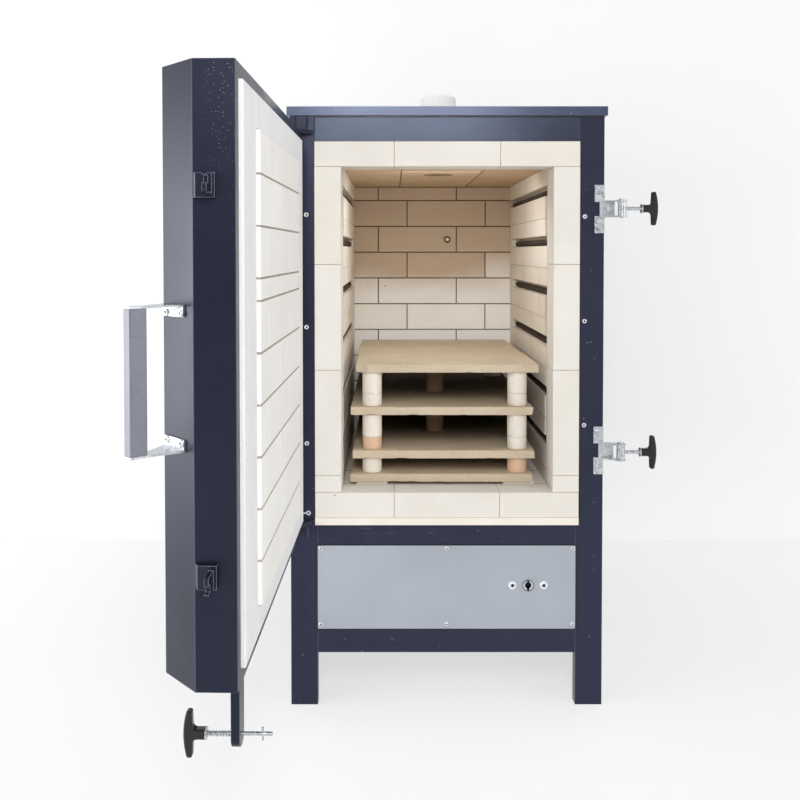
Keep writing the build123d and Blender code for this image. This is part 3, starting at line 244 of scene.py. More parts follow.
def startMaterial(name):
    material = bpy.data.materials.new(name)
    material.use_nodes = True
    tree = material.node_tree
    shader = tree.nodes["Principled BSDF"]
    place = tree.nodes.new("ShaderNodeTexCoord").outputs["Object"]
    return material, tree, shader, place


def useGroup(tree, name, vector, values):
    node = tree.nodes.new("ShaderNodeGroup")
    node.node_tree = groups[name]
    tree.links.new(vector, node.inputs["Vector"])
    for label, value in values.items():
        plug(tree, value, node.inputs[label])
    return node


def mottled(tree, vector, broad, fine, share):
    values = {"Broad Scale": broad, "Fine Scale": fine, "Fine Share": share}
    return useGroup(tree, "mottle", vector, values).outputs


def speckled(tree, vector, scale, size, share):
    return useGroup(tree, "specks", vector, {"Scale": scale, "Size": size, "Share": share}).outputs["Mask"]


def scratched(tree, vector, scale, share):
    return useGroup(tree, "scratches", vector, {"Scale": scale, "Share": share}).outputs["Mask"]


def attribute(tree, name):
    node = tree.nodes.new("ShaderNodeAttribute")
    node.attribute_name = name
    return node.outputs["Fac"]


def twoTones(tree, share, look):
    return blendColour(tree, share, colour(look["dark"]), colour(look["light"]))


def covered(tree, base, mask, share, text):
    # a share of one colour laid over the base where the mask is white
    return blendColour(tree, maths(tree, "MULTIPLY", mask, share), base, colour(text))


def roughness(tree, shader, tone, low, high):
    tree.links.new(ramp(tree, tone, 0.0, 1.0, low, high), shader.inputs["Roughness"])


def addBump(tree, shader, height, strength, distance):
    bump = tree.nodes.new("ShaderNodeBump")
    bump.inputs["Strength"].default_value = strength
    bump.inputs["Distance"].default_value = distance
    tree.links.new(height, bump.inputs["Height"])
    tree.links.new(bump.outputs["Normal"], shader.inputs["Normal"])


def paintMaterial(name, look):
    material, tree, shader, place = startMaterial(name)
    tone = mottled(tree, place, broad=look["broad"], fine=look["peel"], share=0.25)
    base = twoTones(tree, tone["Tone"], look)
    marks = scratched(tree, place, scale=26.0, share=look["scratched"])
    base = covered(tree, base, marks, 0.5, look["wornAndHighlight"])
    dustAndLight = speckled(tree, place, scale=look["dustAndLightScale"], size=0.2, share=look["dustAndLightShare"])
    if look.get("dustAndLightFrom"):
        # dust and painted light on one side only, from one height up: dense pale specks lighten that side towards
        # the top
        spot = separate(tree, place)
        dustAndLight = maths(tree, "MULTIPLY", dustAndLight, ramp(tree, spot["Z"], *look["dustAndLightFrom"]))
        dustAndLight = maths(tree, "MULTIPLY", dustAndLight, ramp(tree, spot["X"], *look["dustAndLightSide"], 0.0, 1.4))
    base = covered(tree, base, dustAndLight, 0.75, look["dustAndLight"])
    # the rounded edges take a pale colour: rubbed paint and painted edge highlights
    base = covered(tree, base, attribute(tree, "edge"), look["edgeWearAndHighlightShare"], look["wornAndHighlight"])
    tree.links.new(base, shader.inputs["Base Color"])
    rough = ramp(tree, tone["Tone"], 0.0, 1.0, look["rough"] - 0.05, look["rough"] + 0.07)
    tree.links.new(maths(tree, "ADD", rough, maths(tree, "MULTIPLY", dustAndLight, 0.3)), shader.inputs["Roughness"])
    shader.inputs["Specular IOR Level"].default_value = look["gloss"]
    shader.inputs["Specular Tint"].default_value = colour(look["sheen"])
    addBump(tree, shader, tone["Height"], look["bump"], 0.0002)
    return material


def brickMaterial(name, look):
    material, tree, shader, place = startMaterial(name)
    tone = mottled(tree, place, broad=look["broad"], fine=420.0, share=0.35)
    base = twoTones(tree, tone["Tone"], look)
    tint = attribute(tree, "tint")
    base = blendColour(tree, ramp(tree, tint, 0.35, 1.0, 0.0, look["tintShare"]), base, colour(look["tint"]))
    if look.get("stainAndShadeRange"):
        # firing stains and painted shade, browner towards the top of the chamber
        level = maths(tree, "ADD", separate(tree, place)["Z"], ramp(tree, tint, 0.0, 1.0, -0.03, 0.03))
        wave = maths(tree, "ADD", level, ramp(tree, tone["Tone"], 0.0, 1.0, -0.02, 0.02))
        stainAndShade = ramp(tree, wave, look["stainAndShadeRange"][0], look["stainAndShadeRange"][1], 0.0, look["stainAndShadeRange"][2])
        base = blendColour(tree, stainAndShade, base, colour(look["stainAndShade"]), "MULTIPLY")
    pores = speckled(tree, place, scale=look["poreScale"], size=0.24, share=look["poreShare"])
    pits = speckled(tree, place, scale=38.0, size=0.085, share=look["pitShare"])
    holes = maths(tree, "MAXIMUM", maths(tree, "MULTIPLY", pores, look["poreDark"]), pits)
    base = covered(tree, base, holes, 0.7, look["pore"])
    base = covered(tree, base, attribute(tree, "edge"), look["jointShare"], look["joint"])
    tree.links.new(base, shader.inputs["Base Color"])
    roughness(tree, shader, tone["Tone"], 0.84, 0.97)
    shader.inputs["Specular IOR Level"].default_value = 0.2
    relief = maths(tree, "SUBTRACT", tone["Height"], maths(tree, "MULTIPLY", holes, 1.6))
    addBump(tree, shader, relief, look["bump"], 0.0006)
    return material


def fibreMaterial(name, look):
    material, tree, shader, place = startMaterial(name)
    tone = mottled(tree, stretched(tree, place, (1.0, 1.0, 0.25)), broad=9.0, fine=700.0, share=0.5)
    base = twoTones(tree, tone["Tone"], look)
    base = covered(tree, base, speckled(tree, place, scale=210.0, size=0.16, share=0.06), 0.4, look["bits"])
    tree.links.new(base, shader.inputs["Base Color"])
    roughness(tree, shader, tone["Tone"], 0.86, 1.0)
    shader.inputs["Specular IOR Level"].default_value = 0.15
    addBump(tree, shader, tone["Height"], 0.6, 0.0008)
    return material


def shelfMaterial(name, look):
    material, tree, shader, place = startMaterial(name)
    tone = mottled(tree, place, broad=11.0, fine=300.0, share=0.45)
    base = twoTones(tree, tone["Tone"], look)
    grit = speckled(tree, place, scale=260.0, size=0.3, share=0.3)
    base = covered(tree, base, grit, 0.5, look["grit"])
    base = covered(tree, base, speckled(tree, place, scale=70.0, size=0.16, share=0.16), 0.6, look["drop"])
    tint = ramp(tree, attribute(tree, "tint"), 0.0, 1.0, 0.0, look["tintShare"])
    base = blendColour(tree, tint, base, colour(look["tint"]))
    spot = separate(tree, place)
    if look.get("paintedShadeBack"):
        # painted shade: darker towards the back, below one height
        near, far, top, share = look["paintedShadeBack"]
        back = ramp(tree, spot["Y"], near, far, 0.0, share)
        under = ramp(tree, spot["Z"], top, top + 0.004, 1.0, 0.0)
        base = covered(tree, base, back, under, look["paintedShadeColour"])
    if look.get("low"):
        base = blendColour(tree, ramp(tree, spot["Z"], *look["low"], 1.0, 0.0), base, colour(look["soot"]))
    tree.links.new(base, shader.inputs["Base Color"])
    roughness(tree, shader, tone["Tone"], 0.7, 0.92)
    shader.inputs["Specular IOR Level"].default_value = 0.3
    addBump(tree, shader, maths(tree, "SUBTRACT", tone["Height"], grit), 0.5, 0.0005)
    return material


def metalMaterial(name, look):
    material, tree, shader, place = startMaterial(name)
    plating = {"Line Scale": look["lines"], "Crystal Scale": look["crystals"]}
    skin = useGroup(tree, "plating", place, plating).outputs
    base = twoTones(tree, skin["Tone"], look)
    base = covered(tree, base, scratched(tree, place, scale=60.0, share=0.45), 0.4, look["mark"])
    tree.links.new(base, shader.inputs["Base Color"])
    shader.inputs["Metallic"].default_value = look["metal"]
    roughness(tree, shader, skin["Tone"], look["rough"] - 0.06, look["rough"] + 0.1)
    addBump(tree, shader, skin["Height"], look["bump"], 0.0001)
    return material


def mouldedMaterial(name, look):
    material, tree, shader, place = startMaterial(name)
    tone = mottled(tree, place, broad=30.0, fine=1500.0, share=0.5)
    base = twoTones(tree, tone["Tone"], look)
    base = covered(tree, base, scratched(tree, place, scale=80.0, share=0.4), 0.35, look["mark"])
    tree.links.new(base, shader.inputs["Base Color"])
    roughness(tree, shader, tone["Tone"], look["rough"] - 0.06, look["rough"] + 0.08)
    addBump(tree, shader, tone["Height"], look["bump"], 0.0002)
    return material


paintLook = {
    "dark": "#232435", "light": "#2a2b3c", "wornAndHighlight": "#6d7284", "dustAndLight": "#c9ccd6", "sheen": "#d4e2ff",
    "broad": 3.0, "peel": 950.0, "scratched": 0.38, "dustAndLightScale": 130.0, "dustAndLightShare": 0.02, "edgeWearAndHighlightShare": 0.35,
    "rough": 0.29, "gloss": 0.36, "bump": 0.1,
}
# the header's paint is the body's paint a shade darker and glossier: the darker base is painted shade, offsetting
# its stronger reflection
shadedTopPaintLook = dict(paintLook, dark="#1e2132", light="#252839", gloss=0.78)
# the lid's paint is the same paint made lighter and bluer: painted light on the lid's bright front
litLidPaintLook = dict(shadedTopPaintLook, dark="#2c314a", light="#353b56", gloss=1.0)
# the door's paint is the body's paint made darker: painted shade on the door's casing, key post and hinge
# knuckles
shadedDoorPaintLook = dict(
    # pale specks, dense on the inner side and denser from 0.95 m up: dust and painted light
    paintLook, dark="#181a28", light="#1d1f2e", scratched=0.2, gloss=0.34, dustAndLight="#f2f4f8", dustAndLightScale=330.0,
    dustAndLightShare=0.42, dustAndLightFrom=(0.95, 1.5), dustAndLightSide=(-0.372, -0.318),
)
# the keepers' paint is the body's paint made darker, with pale edges: painted shade and painted edge highlights
shadedKeeperPaintLook = dict(
    paintLook, dark="#14151f", light="#191a26", wornAndHighlight="#aab0c4", edgeWearAndHighlightShare=0.4, rough=0.24, gloss=0.5,
)
panelLook = {
    "dark": "#9da3ad", "light": "#a7adb7", "wornAndHighlight": "#d9dde2", "dustAndLight": "#dfe2e6", "sheen": "#f2f6ff",
    "broad": 4.0, "peel": 1100.0, "scratched": 0.34, "dustAndLightScale": 150.0, "dustAndLightShare": 0.02, "edgeWearAndHighlightShare": 0.5,
    "rough": 0.4, "gloss": 0.35, "bump": 0.1,
}
frontBrickLook = {
    "dark": "#dfdad1", "light": "#e8e4dd", "tint": "#ddd6ca", "tintShare": 0.3, "broad": 7.0,
    "poreScale": 300.0, "poreShare": 0.12, "poreDark": 0.35, "pitShare": 0.06, "pore": "#8c6f55",
    "joint": "#c8bba8", "jointShare": 0.75, "bump": 0.35,
}
chamberBrickLook = {
    "dark": "#ece4d8", "light": "#f3eee5", "tint": "#e4d6c2", "tintShare": 0.6, "broad": 6.0,
    "poreScale": 280.0, "poreShare": 0.16, "poreDark": 0.4, "pitShare": 0.05, "pore": "#6f543d",
    "joint": "#77593f", "jointShare": 0.85, "bump": 0.4,
}
# the back wall's browner top: firing stain and painted shade
backBrickLook = dict(
    chamberBrickLook, dark="#f2eee8", light="#f8f6f2", tint="#eee7dc", stainAndShadeRange=(0.86, 0.985, 0.95),
    stainAndShade="#cfbaa3", tintShare=0.35, joint="#4f3825", jointShare=0.9,
)
roofBrickLook = dict(chamberBrickLook, stainAndShadeRange=(0.9, 1.1, 1.0), stainAndShade="#e3cfb6")
doorBrickLook = dict(
    frontBrickLook, dark="#f3f1ed", light="#faf9f6", tint="#f0ece6", joint="#94836f", jointShare=0.65,
)
fibreLook = {"dark": "#e9e9eb", "light": "#f4f4f5", "bits": "#bdb8b0"}
stripLook = {"dark": "#e8dfd2", "light": "#f3ece2", "bits": "#c3b5a0"}
boardLook = {"dark": "#c8b89c", "light": "#d8cab2", "bits": "#8f7c5f"}
# the lower shelves darken towards the back: painted shade
shelfLook = {
    "dark": "#c3b299", "light": "#d3c4ad", "grit": "#8d7a66", "drop": "#e8e1d5", "tint": "#ccb697",
    "tintShare": 0.35, "paintedShadeBack": (0.0, 0.36, 0.728, 0.92), "paintedShadeColour": "#4f3d2b",
}
propLook = {
    "dark": "#e7dfd2", "light": "#f1ebe2", "grit": "#b59d83", "drop": "#f5f1ea", "tint": "#dcb089",
    "tintShare": 0.8,
}
# the middle props' dark brown is painted shade
shadedPropLook = {
    "dark": "#8d7459", "light": "#a18a6f", "grit": "#6a543f", "drop": "#b8a48b", "tint": "#8d7459",
    "tintShare": 0.2,
}
bungLook = {
    "dark": "#f6f5f3", "light": "#fdfdfc", "grit": "#d6d1ca", "drop": "#fefefe", "tint": "#f2efeb",
    "tintShare": 0.3, "low": (1.19, 1.23), "soot": "#8f7a5f",
}
zincLook = {
    "dark": "#a3a8ae", "light": "#dde0e3", "mark": "#72767b", "lines": 700.0, "crystals": 220.0,
    "metal": 0.85, "rough": 0.3, "bump": 0.2,
}
screwLook = dict(zincLook, dark="#d6d9dd", light="#f2f4f6", mark="#9fa3a8", metal=0.35)
rawSteelLook = dict(zincLook, dark="#7d7f82", light="#9a9c9f", mark="#5c5d5f", rough=0.42)
gripLook = {
    "dark": "#6e717c", "light": "#7e818c", "mark": "#a6a8b0", "lines": 1100.0, "crystals": 60.0,
    "metal": 0.25, "rough": 0.38, "bump": 0.1,
}
wireLook = {
    "dark": "#3b322b", "light": "#5b4d42", "mark": "#77675a", "lines": 900.0, "crystals": 300.0,
    "metal": 0.35, "rough": 0.62, "bump": 0.3,
}
brassLook = dict(zincLook, dark="#a98648", light="#c9a866", mark="#7d6234", rough=0.35)
blackLook = {"dark": "#0b0b0d", "light": "#121214", "mark": "#2a2a2d", "rough": 0.34, "bump": 0.12}
# a dark moulded finish for screw sockets: painted shade in the recesses
shadedSocketLook = dict(blackLook, dark="#1a1b1e", light="#2a2b2f", rough=0.6)
greyLook = dict(blackLook, dark="#3f4044", light="#4b4c50", mark="#66676b", rough=0.45)
porcelainLook = {"dark": "#e4e0d6", "light": "#efece4", "mark": "#c9c2b3", "rough": 0.22, "bump": 0.06}

bodyPaint = paintMaterial("bodyPaint", paintLook)
shadedTopPaint = paintMaterial("shadedTopPaint", shadedTopPaintLook)
litLidPaint = paintMaterial("litLidPaint", litLidPaintLook)
shadedDoorPaint = paintMaterial("shadedDoorPaint", shadedDoorPaintLook)
shadedKeeperPaint = paintMaterial("shadedKeeperPaint", shadedKeeperPaintLook)
panelPaint = paintMaterial("panelPaint", panelLook)
frontBrick = brickMaterial("frontBrick", frontBrickLook)
chamberBrick = brickMaterial("chamberBrick", chamberBrickLook)
backBrick = brickMaterial("backBrick", backBrickLook)
roofBrick = brickMaterial("roofBrick", roofBrickLook)
doorBrick = brickMaterial("doorBrick", doorBrickLook)
rimFibre = fibreMaterial("rimFibre", fibreLook)
stripFibre = fibreMaterial("stripFibre", stripLook)
boardFibre = fibreMaterial("boardFibre", boardLook)
shelfClay = shelfMaterial("shelfClay", shelfLook)
propClay = shelfMaterial("propClay", propLook)
shadedPropClay = shelfMaterial("shadedPropClay", shadedPropLook)
bungClay = shelfMaterial("bungClay", bungLook)
zinc = metalMaterial("zinc", zincLook)
screwZinc = metalMaterial("screwZinc", screwLook)
rawSteel = metalMaterial("rawSteel", rawSteelLook)
gripMetal = metalMaterial("gripMetal", gripLook)
heatWire = metalMaterial("heatWire", wireLook)
brass = metalMaterial("brass", brassLook)
blackPlastic = mouldedMaterial("blackPlastic", blackLook)
greyPlastic = mouldedMaterial("greyPlastic", greyLook)
shadedSocket = mouldedMaterial("shadedSocket", shadedSocketLook)
porcelain = mouldedMaterial("porcelain", porcelainLook)
print("materials made:", len(bpy.data.materials))


# mesh helpers

def newPiece(name, mesh, material, body, slot, *replaced):
    piece = bpy.data.objects.new(name, mesh)
    scene.collection.objects.link(piece)
    mesh.materials.clear()
    mesh.materials.append(material)
    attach(piece, body)
    if replaced:
        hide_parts(*replaced)


def markIslands(shape, seed, chosen=None):
    # each loose part gets its own tint from 0 to 1: random, or chosen by where it lies
    layer = shape.faces.layers.float.new("tint")
    rng = random.Random(seed)
    left = set(shape.faces)
    for first in list(shape.faces):
        if first not in left:
            continue
        value = chosen(first.calc_center_median()) if chosen else rng.random()
        stack = [first]
        left.discard(first)
        while stack:
            face = stack.pop()
            face[layer] = value
            for edge in face.edges:
                for other in edge.link_faces:
                    if other in left:
                        left.discard(other)
                        stack.append(other)


def roundedShape(shape, name, width, segments, seed, sharp=28.0, chosen=None, upright=1.0):
    # rounds the sharp edges of a shape, marks the rounded faces, and gives its mesh
    layer = shape.faces.layers.float.new("edge")
    inside = [edge for edge in shape.edges if len(edge.link_faces) == 2]
    corners = [edge for edge in inside if edge.calc_face_angle(0.0) > math.radians(sharp)]
    made = bmesh.ops.bevel(
        shape, geom=corners, offset=width / 1000, offset_type="OFFSET", segments=segments, profile=0.5,
        affect="EDGES", clamp_overlap=True,
    )
    for face in made["faces"]:
        face.normal_update()
        face[layer] = 1.0 if abs(face.normal.z) > 0.3 else upright
    markIslands(shape, seed, chosen)
    mesh = bpy.data.meshes.new(name)
    shape.to_mesh(mesh)
    shape.free()
    return mesh


def weldedShape(nodeName):
    # a copy of a node's mesh, its triangles welded at their corners
    shape = bmesh.new()
    shape.from_mesh(nodes[nodeName].data)
    bmesh.ops.remove_doubles(shape, verts=shape.verts, dist=0.000002)
    return shape


def flatShape(nodeName):
    # the same, the triangles of each flat face joined to one
    shape = weldedShape(nodeName)
    bmesh.ops.dissolve_limit(shape, angle_limit=math.radians(0.4), verts=shape.verts, edges=shape.edges)
    return shape


def edgedMesh(nodeName, width, segments=1, seed=1, sharp=28.0, chosen=None, upright=1.0):
    # a copy of a node's mesh with rounded edges
    shape = flatShape(nodeName)
    return roundedShape(shape, nodeName + "Edged", width, segments, seed, sharp, chosen, upright)


def addBox(shape, low, high):
    made = bmesh.ops.create_cube(shape, size=1.0)
    for vertex in made["verts"]:
        for axis in range(3):
            vertex.co[axis] = high[axis] if vertex.co[axis] > 0 else low[axis]


def smoothByAngle(mesh, degrees=32.0):
    # smooth shading up to an angle, sharp edges above it
    mesh.shade_smooth()
    mesh.set_sharp_from_angle(angle=math.radians(degrees))
    shape = bmesh.new()
    shape.from_mesh(mesh)
    corners = [corner for face in shape.faces for corner in face.loops]
    places = {corner: place for place, corner in enumerate(corners)}
    areas = {face: face.calc_area() for face in shape.faces}
    leanings = [None] * len(places)
    # corner normals lean to the widest face, so that flat sheet stays flat between its rounded edges
    for vertex in shape.verts:
        left = {corner.face: corner for corner in vertex.link_loops}
        while left:
            first = next(iter(left))
            fan = {first: left.pop(first)}
            stack = [first]
            while stack:
                for edge in stack.pop().edges:
                    if edge.smooth and vertex in edge.verts:
                        for other in edge.link_faces:
                            if other in left:
                                fan[other] = left.pop(other)
                                stack.append(other)
            leaning = sum((face.normal * areas[face] for face in fan), Vector()).normalized()
            for corner in fan.values():
                leanings[places[corner]] = leaning
    shape.free()
    mesh.normals_split_custom_set(leanings)


def ringFaces(rings, steps, closed=False):
    # four-sided faces between rings of points, and the two ends unless the last ring meets the first
    faces = []
    for ring in range(rings if closed else rings - 1):
        near, far = ring * steps, (ring + 1) % rings * steps
        for step in range(steps):
            following = (step + 1) % steps
            faces.append((near + step, near + following, far + following, far + step))
    if not closed:
        faces.append(tuple(reversed(range(steps))))
        faces.append(tuple(range((rings - 1) * steps, rings * steps)))
    return faces


def sweep(points, radius, sides):
    # vertices and faces of a round tube along points, its radius in mm
    vertices = []
    tangent = (points[1] - points[0]).normalized()
    side = tangent.orthogonal().normalized()
    for index, point in enumerate(points):
        ahead = points[min(index + 1, len(points) - 1)]
        behind = points[max(index - 1, 0)]
        tangent = (ahead - behind).normalized()
        side = (side - tangent * side.dot(tangent)).normalized()
        other = tangent.cross(side)
        for step in range(sides):
            angle = 2 * math.pi * step / sides
            vertices.append(point + (side * math.cos(angle) + other * math.sin(angle)) * radius / 1000)
    return vertices, ringFaces(len(points), sides)


def turned(profile, middle, axis, steps, shapeOf=None, closed=False):
    # a turned form: profile of (radius, height) in mm about an axis through a point in metres
    axis = axis.normalized()
    side = axis.orthogonal().normalized()
    other = axis.cross(side)
    vertices = []
    for row, (radius, height) in enumerate(profile):
        for step in range(steps):
            angle = 2 * math.pi * step / steps
            away = side * math.cos(angle) + other * math.sin(angle)
            reach = radius * (shapeOf(row, angle) if shapeOf else 1.0)
            vertices.append(middle + axis * height / 1000 + away * reach / 1000)
    return vertices, ringFaces(len(profile), steps, closed)


def hoop(middle, axis, inner, outer, tall, steps=40):
    # a flat ring, in mm, standing on its middle point
    profile = ((inner, 0.0), (outer, 0.0), (outer, tall), (inner, tall))
    return turned(profile, middle, axis, steps, closed=True)


def joined(name, parts):
    # one smooth mesh from several lists of vertices and faces
    vertices = []
    faces = []
    for partVertices, partFaces in parts:
        start = len(vertices)
        vertices.extend(partVertices)
        faces.extend(tuple(start + i for i in face) for face in partFaces)
    mesh = bpy.data.meshes.new(name)
    mesh.from_pydata([tuple(v) for v in vertices], [], faces)
    mesh.update()
    shape = bmesh.new()
    shape.from_mesh(mesh)
    bmesh.ops.recalc_face_normals(shape, faces=shape.faces)
    markIslands(shape, 3)
    shape.to_mesh(mesh)
    shape.free()
    smoothByAngle(mesh)
    return mesh


# brickwork: every brick is softened at its edges, and has a tone of its own
brickSets = {
    "frontBricks": {
        "nodes": ("lintel_bricks", "jamb_bricks", "sill_bricks"), "material": frontBrick, "edge": 0.8,
        "body": "kiln",
    },
    "chamberBricks": {
        "nodes": ("wall_bricks_left", "wall_bricks_right", "hearth_bricks"), "material": chamberBrick,
        "edge": 1.6, "body": "kiln",
    },
    "roofBricks": {"nodes": ("roof_bricks",), "material": roofBrick, "edge": 1.4, "body": "kiln"},
    "doorBricks": {
        "nodes": ("door_bricks",), "material": doorBrick, "edge": 1.6, "body": "door", "upright": 0.15,
    },
}
for label, look in brickSets.items():
    for number, nodeName in enumerate(look["nodes"]):
        mesh = edgedMesh(nodeName, look["edge"], 1, seed=11 + number, upright=look.get("upright", 1.0))
        newPiece(f"{label}{number + 1}", mesh, look["material"], look["body"], "firebrick", nodeName)

# back wall: courses in running bond with raked joints, and a hole for the sheath
wallLook = {
    "edge": 1.3, "gap": 0.6, "face": (680.4, 756.0), "ends": (-305.8, 305.8),
    "cuts": ((-159.2, 70.8), (-74.4, 155.6)),
    "levels": (1188.8, 1149.1, 1073.1, 997.1, 921.1, 845.1, 769.1, 693.1, 617.1, 541.1, 473.7),
    "hole": (43.7, 1034.6), "holeRadius": 8.5, "holeDeep": 20.0, "holeSides": 10,
}


def frontFaces(shape):
    return [face for face in shape.faces if face.normal.y < -0.5]


shape = bmesh.new()
half = wallLook["gap"] / 2
for course, (top, foot) in enumerate(zip(wallLook["levels"][:-1], wallLook["levels"][1:])):
    cuts = (wallLook["ends"][0],) + wallLook["cuts"][course % 2] + (wallLook["ends"][1],)
    for left, right in zip(cuts[:-1], cuts[1:]):
        low = at(left + half, wallLook["face"][0], foot + half)
        high = at(right - half, wallLook["face"][1], top - half)
        addBox(shape, low, high)
shape.normal_update()
holeMiddle = at(wallLook["hole"][0], wallLook["face"][0], wallLook["hole"][1])
radius = wallLook["holeRadius"] / 1000
for face in frontFaces(shape):
    # the front of the brick that the hole lies in
    low = [min(v.co[i] for v in face.verts) for i in range(3)]
    high = [max(v.co[i] for v in face.verts) for i in range(3)]
    if all(low[i] < holeMiddle[i] < high[i] for i in (0, 2)):
        break
for step in range(wallLook["holeSides"]):
    angle = 2 * math.pi * step / wallLook["holeSides"]
    away = Vector((math.cos(angle), 0, math.sin(angle)))
    near = []
    for face in frontFaces(shape):
        middle = face.calc_center_median()
        if all(low[i] - 0.001 < middle[i] < high[i] + 0.001 for i in (0, 2)):
            near.append(face)
    around = [v for f in near for v in f.verts] + [e for f in near for e in f.edges] + near
    bmesh.ops.bisect_plane(
        shape, geom=list(dict.fromkeys(around)), dist=0.00001, plane_co=holeMiddle + away * radius, plane_no=away,
    )
    shape.normal_update()
inner = [f for f in frontFaces(shape) if (f.calc_center_median() - holeMiddle).length < radius * 2 / 3]
pushed = bmesh.ops.extrude_face_region(shape, geom=inner)
for element in pushed["geom"]:
    if isinstance(element, bmesh.types.BMVert):
        element.co.y += wallLook["holeDeep"] / 1000
bmesh.ops.delete(shape, geom=inner, context="FACES")
shape.normal_update()
mesh = roundedShape(shape, "backWall", wallLook["edge"], 1, 31)
newPiece("backBricks1", mesh, backBrick, "kiln", "firebrick", "back_bricks")
print("brickwork done")

# painted sheet steel with small folded radii
sheetSets = {
    "lidPan": {"node": "lid", "edge": 4.0, "material": litLidPaint},
    "headerBeam": {"node": "header", "edge": 1.2, "material": shadedTopPaint},
    "frontBeams": {"node": "front_beams", "edge": 1.2},
    "columns": {"node": "front_columns", "edge": 1.2},
    "sidePanels": {"node": "side_panels", "edge": 0.5},
    "backCover": {"node": "back_cover", "edge": 0.4},
    "rearPosts": {"node": "rear_posts", "edge": 0.6},
    "hingeLugs": {"node": "hinge_lugs", "edge": 0.8},
}
for label, look in sheetSets.items():
    mesh = edgedMesh(look["node"], look["edge"], 3)
    smoothByAngle(mesh, 32)
    newPiece(label, mesh, look.get("material", bodyPaint), "kiln", "body_paint", look["node"])
doorSets = {
    "doorCasing": {"node": "door_casing", "edge": 1.4},
    "keyPost": {"node": "key_post", "edge": 1.0},
    "keeperBrackets": {"node": "keepers", "edge": 0.8, "material": shadedKeeperPaint},
    "hingeKnuckles": {"node": "hinge_knuckles", "edge": 0.5},
}
for label, look in doorSets.items():
    mesh = edgedMesh(look["node"], look["edge"], 2)
    smoothByAngle(mesh, 20)
    newPiece(label, mesh, look.get("material", shadedDoorPaint), "door", "body_paint", look["node"])
mesh = edgedMesh("service_panel", 0.4, 1)
newPiece("servicePanel", mesh, panelPaint, "kiln", "panel_paint", "service_panel")
print("sheet steel done")

# cast, turned and folded metal parts with rounded edges
hardwareSets = {
    "latchBrackets": ("latch_brackets", 0.6, "kiln", "zinc", zinc),
    "handleArms": ("handle_arms", 0.7, "door", "zinc", zinc),
    "handleGrip": ("handle_grip", 0.8, "door", "grip", gripMetal),
    "keyTee": ("key_tee", 0.9, "key", "black_plastic", blackPlastic),
    "latchTeeHigh": ("latch_tee_high", 0.9, "latch_high_tee", "black_plastic", blackPlastic),
    "latchTeeLow": ("latch_tee_low", 0.9, "latch_low_tee", "black_plastic", blackPlastic),
    "latchFlangeBolts": ("latch_flange_bolts", 0.5, "kiln", "zinc", zinc),
    "keyPlate": ("keyhole_plate", 0.4, "kiln", "zinc", zinc),
}
for label, (nodeName, edge, body, slot, material) in hardwareSets.items():
    mesh = edgedMesh(nodeName, edge, 2, sharp=35.0)
    smoothByAngle(mesh, 40)
    newPiece(label, mesh, material, body, slot, nodeName)

# thin black strips as painted shade in the gaps: under the lid's front, round the service panel, and beside the
# front bricks
shadowStripBoxes = {
    "lidShadowStrip": (((-339, 8.2, 1290.0), (339, 10.0, 1292.8)),),
    "panelShadowStrip": (
        ((-287.2, 8.8, 167.0), (-283.0, 10.0, 356.0)), ((283.0, 8.8, 167.0), (287.2, 10.0, 356.0)),
        ((-282.9, 8.8, 167.0), (282.9, 10.0, 169.4)), ((-282.9, 8.8, 353.7), (282.9, 10.0, 356.0)),
    ),
    "brickShadowStrip": (
        ((-290.4, 9.2, 397.0), (-288.0, 10.0, 1237.0)), ((288.0, 9.2, 397.0), (290.4, 10.0, 1237.0)),
    ),
}
for label, boxes in shadowStripBoxes.items():
    shape = bmesh.new()
    for low, high in boxes:
        addBox(shape, at(*low), at(*high))
    newPiece(label, roundedShape(shape, label, 0.2, 1, 2), blackPlastic, "kiln", "black_plastic")


# the keyhole's dark ring and painted collar, and a split pin at the lower hinge
keyholeLook = {"at": (179.0, 6.9, 266.0), "ring": (11.2, 12.7, 0.35), "collar": (12.8, 15.6, 0.2)}
keyMiddle = at(*keyholeLook["at"])
outward = Vector((0, -1, 0))
mesh = joined("keyholeRing", [hoop(keyMiddle, outward, *keyholeLook["ring"])])
newPiece("keyholeRing", mesh, blackPlastic, "kiln", "black_plastic")
mesh = joined("keyholeCollar", [hoop(keyMiddle, outward, *keyholeLook["collar"])])
newPiece("keyholeCollar", mesh, panelPaint, "kiln", "panel_paint")
pinLook = {
    "eye": (-303.0, 9.9, 426.0), "eyeSizes": (2.6, 5.0, 2.2), "wire": 1.5,
    "legs": ((-320.0, 8.6, 424.6), (-314.0, 8.6, 425.2), (-308.2, 8.6, 425.8)),
}
pinParts = [
    hoop(at(*pinLook["eye"]), outward, *pinLook["eyeSizes"], steps=24),
    sweep([at(*point) for point in pinLook["legs"]], pinLook["wire"], 10),
]
newPiece("splitPin", joined("splitPin", pinParts), screwZinc, "kiln", "zinc")
print("hardware done")


def islandBoxes(nodeName):
    # the box of each loose part of a node
    shape = weldedShape(nodeName)
    place = nodes[nodeName].matrix_world
    left = set(shape.verts)
    boxes = []
    for first in shape.verts:
        if first not in left:
            continue
        left.discard(first)
        stack = [first]
        found = []
        while stack:
            vertex = stack.pop()
            found.append(place @ vertex.co)
            for edge in vertex.link_edges:
                other = edge.other_vert(vertex)
                if other in left:
                    left.discard(other)
                    stack.append(other)
        low = Vector([min(v[i] for v in found) for i in range(3)])
        high = Vector([max(v[i] for v in found) for i in range(3)])
        boxes.append((low, high))
    shape.free()
    return boxes


